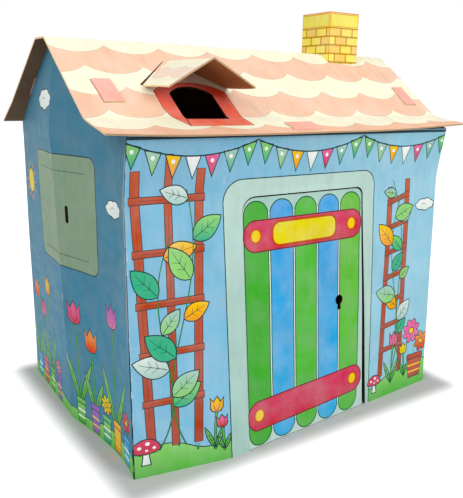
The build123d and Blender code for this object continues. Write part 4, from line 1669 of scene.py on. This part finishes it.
def gable_slot(end, side):
    outer, inner = [], []
    start, end_of_slot = GABLE_TAB_START - SLOT_FIT, GABLE_TAB_START + GABLE_TAB_LENGTH + SLOT_FIT
    for from_ridge in np.linspace(start, end_of_slot, 6):
        face = gable_face_x(end, *on_slope(side, from_ridge))
        outer.append((face + end * SLOT_SLACK, slope_s(side, from_ridge)))
        inner.append((face - end * (BOARD + SLOT_FIT), slope_s(side, from_ridge)))
    return outer + inner[::-1]


def eave_slot(side):
    """The front eave's slot, which is closed, or the back eave's notch, which is open."""
    left, right = EAVE_TAB_LEFT - SLOT_FIT, EAVE_TAB_LEFT + EAVE_TAB_WIDTH + SLOT_FIT
    if side < 0:
        near = EAVE_FRONT + (FRONT_OVERHANG + BOARD + SLOT_FIT) / math.cos(FRONT_FLARE)
        far = EAVE_FRONT + (FRONT_OVERHANG - SLOT_SLACK) / math.cos(FRONT_FLARE)
    else:
        near = EAVE_BACK - (BACK_OVERHANG + BOARD + SLOT_FIT) / math.cos(BACK_FLARE)
        far = EAVE_BACK + 20
    return box(left, near, right, far)


def arch_hole():
    left, right = DORMER_X - ARCH_HALF, DORMER_X + ARCH_HALF
    spring, foot = slope_s(-1, ARCH_SPRING), slope_s(-1, ARCH_FOOT)
    radius = (ARCH_HALF ** 2 + ARCH_RISE ** 2) / (2 * ARCH_RISE)
    half = math.asin(ARCH_HALF / radius)
    arc = [
        (DORMER_X + radius * math.sin(a), spring + ARCH_RISE - radius + radius * math.cos(a))
        for a in np.linspace(half, -half, 17)
    ]
    return [(left, foot), (right, foot)] + arc


def chimney_slot(side):
    pitch = PITCHES[side > 0]
    near = (CHIMNEY_HALF_DEPTH - BOARD - SLOT_FIT / 2 - RIDGE_EDGE) / math.cos(pitch)
    far = (CHIMNEY_HALF_DEPTH + SLOT_FIT / 2 - RIDGE_EDGE) / math.cos(pitch) + BOARD * math.tan(pitch)
    half = CHIMNEY_TONGUE + SLOT_FIT / 2
    return box(CHIMNEY_X - half, slope_s(side, near), CHIMNEY_X + half, slope_s(side, far))


def dormer_slot(side):
    line = []
    for from_ridge in (TONGUE_FROM_RIDGE - TONGUE_HALF, TONGUE_FROM_RIDGE + TONGUE_HALF):
        top = DORMER_RIDGE - from_ridge * math.tan(DORMER_SLOPE)
        for drop in (0.0, BOARD / math.cos(DORMER_SLOPE)):
            w = (RIDGE_HEIGHT - top + drop) / math.sin(FRONT_PITCH)
            line.append((DORMER_X + side * from_ridge, slope_s(-1, w) + (0.5 if drop == 0 else -0.5)))
    return [line[0], line[1], line[3], line[2]]


def painted_soffit_shade(flat):
    """The roof's underside carries painted shade where it hangs out past the gables, most of all at the
    ridge.
    """
    past = np.clip((abs(flat[0]) - HALF_LENGTH + 40) / 40, 0, 1)
    shade = 0.8 + 0.5 * abs(flat[1]) / EAVE_BACK
    return tuple(float(1 - past * (1 - grey * shade)) for grey in SOFFIT_SHADE)


def make_roof():
    holes = [gable_slot(end, side) for end in (-1, 1) for side in (-1, 1)]
    holes += [eave_slot(-1), eave_slot(1), arch_hole(), chimney_slot(-1), chimney_slot(1)]
    holes += [dormer_slot(-1), dormer_slot(1)]
    folds = []
    for start, length, steps in zip(ROOF_STARTS, ROOF_LENGTHS, (1, 6, 1, 4, 1, 4, 1, 6, 1)):
        levels = [start + length * k / steps for k in range(steps)]
        folds += [[(-600.0, level), (600.0, level)] for level in levels]
    # The roof's hole edges get painted shade, and its outer edges are made paler.
    board = Board(painted_soffit_shade, lambda flat, in_hole: PAINTED_HOLE_SHADE if in_hole else PALER_EDGE)
    outline = box(-ROOF_END, EAVE_FRONT, ROOF_END, EAVE_BACK)
    board.folded(outline, holes, roof_print(), roof_place, ROOF_GRID, folds[1:])
    return board.made("roof", "house", "roof_sheet", "roof_print")


# The dormer
DORMER_SCALLOP = 86.0


def dormer_a(from_ridge):
    """Distance along the dormer's sheet of a place this far from its ridge in plan."""
    return (from_ridge - DORMER_BEND) / math.cos(DORMER_SLOPE) + DORMER_ARC


def dormer_outline():
    first, last = TONGUE_FROM_RIDGE - TONGUE_HALF, TONGUE_FROM_RIDGE + TONGUE_HALF
    half = [(0.0, False), (DORMER_BEND / 2, False), (DORMER_BEND, False), (first, False)]
    half += [(first, True), (last, True), (last, False), (DORMER_HALF, False)]
    edge = []
    for x, tongue in half:
        a = dormer_a(x) if x > DORMER_BEND else x / math.cos(DORMER_SLOPE / 2)
        z = float(dormer_section(np.array([a]), 0.0)[0, 1])
        edge.append((a, float(dormer_back(z, BOARD + TONGUE_DEPTH if tongue else -SEAT_GAP))))
    reach = edge[-1][0]
    return [(-reach, DORMER_FRONT), (reach, DORMER_FRONT)] + edge[::-1] + [(-a, y) for a, y in edge[1:]]


def dormer_print():
    p = Print(CREAM)
    rows = [(k / 8, y) for y in np.arange(DORMER_FRONT - 100, 40, DORMER_SCALLOP) for k in range(8)]
    for level, shade in ((82.0, DORMER_BAND), (34.0, CREAM)):
        edge = [(level + 15 * lobe(t), y + DORMER_SCALLOP * t) for t, y in rows]
        for past, tint in ((0.8, DORMER_LINE), (0.0, shade)):
            p.fill([(-a - past, y) for a, y in edge] + [(a + past, y) for a, y in reversed(edge)], tint)
    return p


def make_dormer():
    folds = [upright(a, DORMER_FRONT - 40, 40.0) for a in np.linspace(-DORMER_ARC, DORMER_ARC, 5)]
    # The dormer's inner face is painted warmer as bounce light, and its cut edges are made paler.
    board = Board(lambda flat: DORMER_LINER_BOUNCE, lambda flat, in_hole: PALER_EDGE)
    board.folded(dormer_outline(), [], dormer_print(), dormer_lifted, DORMER_GRID, folds)
    return board.made("dormer", "house", "dormer_hood", "roof_print")


def dormer_lifted(flat, depth):
    made = dormer_place(flat, depth)
    made[:, 2] += sag_at(made[:, 0], made[:, 1])
    return made


# The chimney
CHIMNEY_SEAM = CHIMNEY_STARTS[3]
CHIMNEY_LAST = CHIMNEY_SEAM + CHIMNEY_ROUND - SEAM_GAP
BRICK_HEIGHT = 24.5
BRICK_LENGTH = 45.0
LEAST_BRICK = 6.0
BRICK_ROWS = 6
MORTAR_GAP = 2.2
CAP_BLOCK = 43.0


def chimney_lifted(flat, depth):
    made = chimney_place(flat, depth)
    seat = roof_height(made[:, 1], -SEAT_GAP)
    in_tongue = np.abs(made[:, 0] - CHIMNEY_X) <= CHIMNEY_TONGUE + 0.01
    in_tongue &= np.abs(made[:, 1]) > CHIMNEY_HALF_DEPTH - 4.5
    made[:, 2] = np.where(in_tongue, made[:, 2], np.maximum(made[:, 2], seat))
    made[:, 2] += sag_at(made[:, 0], made[:, 1])
    return made


def chimney_foot():
    """The sleeve's lower edge, from its seam round to its seam."""
    line = []
    for past in (0, CHIMNEY_ROUND, 2 * CHIMNEY_ROUND):
        for number, (start, end) in enumerate(zip(CHIMNEY_STARTS, CHIMNEY_STARTS[1:])):
            steps = 14 if number in (2, 6) else 4
            line += list(np.linspace(start, end, steps, endpoint=False) + past)
            if number in (0, 4):
                middle = (start + end) / 2 + past
                line += [middle - CHIMNEY_TONGUE, middle + CHIMNEY_TONGUE]
    us = sorted(u for u in set(line) if CHIMNEY_SEAM < u < CHIMNEY_LAST)
    us = [CHIMNEY_SEAM] + us + [CHIMNEY_LAST]
    plan = chimney_place(np.array([(u, 0.0) for u in us]), np.zeros(len(us)))
    points = []
    for u, (x, y, _) in zip(us, plan):
        seat = float(roof_height(y, -SEAT_GAP))
        tongue = float(roof_height(math.copysign(CHIMNEY_HALF_DEPTH, y), BOARD + TONGUE_DEPTH))
        from_middle = abs(x - CHIMNEY_X)
        on_face = abs(abs(y) - CHIMNEY_HALF_DEPTH) < 0.01
        if on_face and abs(from_middle - CHIMNEY_TONGUE) < 0.01:
            entering = x > CHIMNEY_X if y > 0 else x < CHIMNEY_X
            points += [(u, seat), (u, tongue)] if entering else [(u, tongue), (u, seat)]
        elif on_face and from_middle < CHIMNEY_TONGUE:
            points.append((u, tongue))
        else:
            points.append((u, seat))
    return points


def chimney_print():
    p = Print(MORTAR)
    top = CHIMNEY_TOP
    faces = [
        (CHIMNEY_STARTS[side] - CORNER / 2 + past, CHIMNEY_STARTS[side + 1] + CORNER / 2 + past)
        for past in (-CHIMNEY_ROUND, 0, CHIMNEY_ROUND) for side in (0, 2, 4, 6)
    ]
    for number, (start, end) in enumerate(faces):
        p.fill(rounded_box(start + 0.6, top - CAP_BLOCK, end - 0.6, top - 3, 4), BRICK_WARM)
        block = rounded_box(start + 4.2, top - CAP_BLOCK + 3, end - 4.2, top - 6, 3)
        p.inked(block, BLOCK, BLOCK, 0.9, BRICK_EDGE)
        for row in range(BRICK_ROWS):
            high = top - CAP_BLOCK - 2.4 - row * BRICK_HEIGHT
            cuts = [start]
            x = start + BRICK_LENGTH * (1.0 if row % 2 == number % 2 else 0.5)
            while x < end - LEAST_BRICK:
                cuts.append(x)
                x += BRICK_LENGTH
            cuts.append(end)
            for i, (a, b) in enumerate(zip(cuts, cuts[1:])):
                left = a + (MORTAR_GAP / 2 if i else 0.0)
                right = b - (MORTAR_GAP / 2 if b < end else 0.0)
                brick = rounded_box(left, high - BRICK_HEIGHT + MORTAR_GAP, right, high, 2.6)
                p.fill(brick, BRICK_EDGE)
                p.fill(grown(brick, -1.5), BRICK if (row * 3 + i * 2 + number) % 5 < 3 else BRICK_WARM)
    p.fill(box(-900, top - 2.6, 1500, top + 5), CHIMNEY_RIM)
    return p


def chimney_lap_rows():
    inner_x = CHIMNEY_X + CHIMNEY_HALF_WIDTH - BOARD - SEAT_GAP
    near, far = CHIMNEY_HALF_DEPTH - BOARD - 26, CHIMNEY_HALF_DEPTH - BOARD
    rows = []
    for top in (False, True):
        row = []
        for x, y in box(inner_x - BOARD, near, inner_x, far):
            seat = float(roof_height(y, -SEAT_GAP)) + float(sag_at(x, y))
            row.append((x, y, CHIMNEY_TOP if top else seat))
        rows.append(row)
    return rows


def make_chimney():
    outline = chimney_foot() + [(CHIMNEY_LAST, CHIMNEY_TOP), (CHIMNEY_SEAM, CHIMNEY_TOP)]
    folds = []
    for number, (start, length) in enumerate(zip(CHIMNEY_STARTS, CHIMNEY_LENGTHS)):
        for share in (0.0, 0.25, 0.5, 0.75) if number % 2 else (0.0,):
            for past in (0, CHIMNEY_ROUND):
                u = start + length * share + past
                if CHIMNEY_SEAM + 0.5 < u < CHIMNEY_LAST - 0.5:
                    folds.append(upright(u, 900.0, 1150.0))
    board = Board()
    board.folded(outline, [], chimney_print(), chimney_lifted, CHIMNEY_GRID, folds)
    board.lofted(chimney_lap_rows(), [CUT_EDGE, PRINTED, CUT_EDGE, LINER], BRICK)
    return board.made("chimney", "house", "chimney_sleeve", "chimney_print")


make_walls()
make_door()
for end in (-1, 1):
    for side in (-1, 1):
        make_shutter(end, side)
make_roof()
make_dormer()
make_chimney()


# Camera
CAMERA_AT = (-1043.4, -1538.9, 862.0)
CAMERA_YAW = -34.16
CAMERA_PITCH = 13.68
CAMERA_ROLL = 0.99
FOCAL_PIXELS = 633.0
LONG_SIDE = 498.0


def set_camera():
    yaw, pitch, roll = (math.radians(a) for a in (CAMERA_YAW, CAMERA_PITCH, CAMERA_ROLL))
    ahead = Vector((-math.sin(yaw) * math.cos(pitch), math.cos(yaw) * math.cos(pitch), -math.sin(pitch)))
    level = Vector((math.cos(yaw), math.sin(yaw), 0.0))
    upward = level.cross(ahead)
    right = math.cos(roll) * level + math.sin(roll) * upward
    up = math.cos(roll) * upward - math.sin(roll) * level
    data = bpy.data.cameras.new("camera")
    data.sensor_width = 36.0
    data.lens = FOCAL_PIXELS / LONG_SIDE * data.sensor_width
    data.clip_start, data.clip_end = 0.05, 50.0
    camera = shown("camera", data)
    turned = Matrix((right, up, -ahead)).transposed().to_4x4()
    place = Vector(CAMERA_AT) + Vector((0, HOUSE_Y, 0))
    camera.matrix_world = Matrix.Translation(place * MM) @ turned
    bpy.context.scene.camera = camera


set_camera()


# Floor, light and background
AMBIENT = 0.55
FLOOR_GREY = 0.53
FLOOR_REACH = 12.0
WHITE_FROM = 0.098


def soft_light(name, place, target, size, power):
    data = bpy.data.lights.new(name, "AREA")
    data.shape = "DISK"
    data.size = size
    data.energy = power
    light = shown(name, data)
    light.location = place
    light.rotation_euler = (Vector(target) - Vector(place)).to_track_quat("-Z", "Y").to_euler()


def seen_directly(tree):
    """1 for rays that show the background, straight or in gloss, and 0 for rays that light the object."""
    path = node(tree, "ShaderNodeLightPath").outputs
    seen = combined(tree, "MAXIMUM", path["Is Camera Ray"], path["Is Glossy Ray"])
    return combined(tree, "MAXIMUM", seen, path["Is Transmission Ray"])


def make_world():
    world = bpy.data.worlds.new("studio")
    bpy.context.scene.world = world
    world.use_nodes = True
    background = world.node_tree.nodes["Background"]
    feed(world.node_tree, background.inputs["Color"], PLAIN)
    strength = ramp(world.node_tree, seen_directly(world.node_tree), 0.0, 1.0, AMBIENT, 1.0)
    feed(world.node_tree, background.inputs["Strength"], strength)


def from_footprint(tree):
    """How far a place on the floor lies from the house's footprint, in metres."""
    place = node(tree, "ShaderNodeNewGeometry").outputs["Position"]
    split = node(tree, "ShaderNodeSeparateXYZ", {"Vector": place})
    squares = []
    for axis, half in (("X", HALF_LENGTH + GABLE_BOW_FLOOR), ("Y", HALF_DEPTH + FRONT_BOW / 2)):
        outside = combined(tree, "SUBTRACT", combined(tree, "ABSOLUTE", split.outputs[axis]), half * MM)
        past = combined(tree, "MAXIMUM", outside, 0.0)
        squares.append(combined(tree, "MULTIPLY", past, past))
    return combined(tree, "SQRT", combined(tree, "ADD", *squares))


def make_floor():
    """A plain pale floor that keeps the soft shadow beside the house and glows white further out, so that
    near the house it stays darker even where lit, as painted shade.
    """
    mesh = bpy.data.meshes.new("floor")
    corners = box(-FLOOR_REACH, -FLOOR_REACH, FLOOR_REACH, FLOOR_REACH)
    mesh.from_pydata([(x, y, 0) for x, y in corners], [], [(0, 1, 2, 3)])
    look, tree, shader = started("floor", 0.9, 0.0)
    feed(tree, shader.inputs["Base Color"], (FLOOR_GREY, FLOOR_GREY, FLOOR_GREY))
    feed(tree, shader.inputs["Emission Color"], PLAIN)
    # The glow starts only away from the footprint: painted shade round the house, on top of its real shadow
    inputs = {"Value": from_footprint(tree), "From Max": WHITE_FROM, "To Max": 1.0}
    rise = node(tree, "ShaderNodeMapRange", inputs, interpolation_type="SMOOTHSTEP", clamp=True)
    lift = combined(tree, "MULTIPLY", seen_directly(tree), rise.outputs["Result"])
    feed(tree, shader.inputs["Emission Strength"], lift)
    mesh.materials.append(look)
    shown("floor", mesh)


make_world()
make_floor()
soft_light("key", (1.1, -4.1, 2.4), (0.0, 0.0, 0.6), 2.2, 84.0)
soft_light("side", (-3.8, -1.4, 3.2), (0.0, 0.0, 0.7), 2.4, 80.0)

bpy.context.scene.view_settings.view_transform = "Standard"
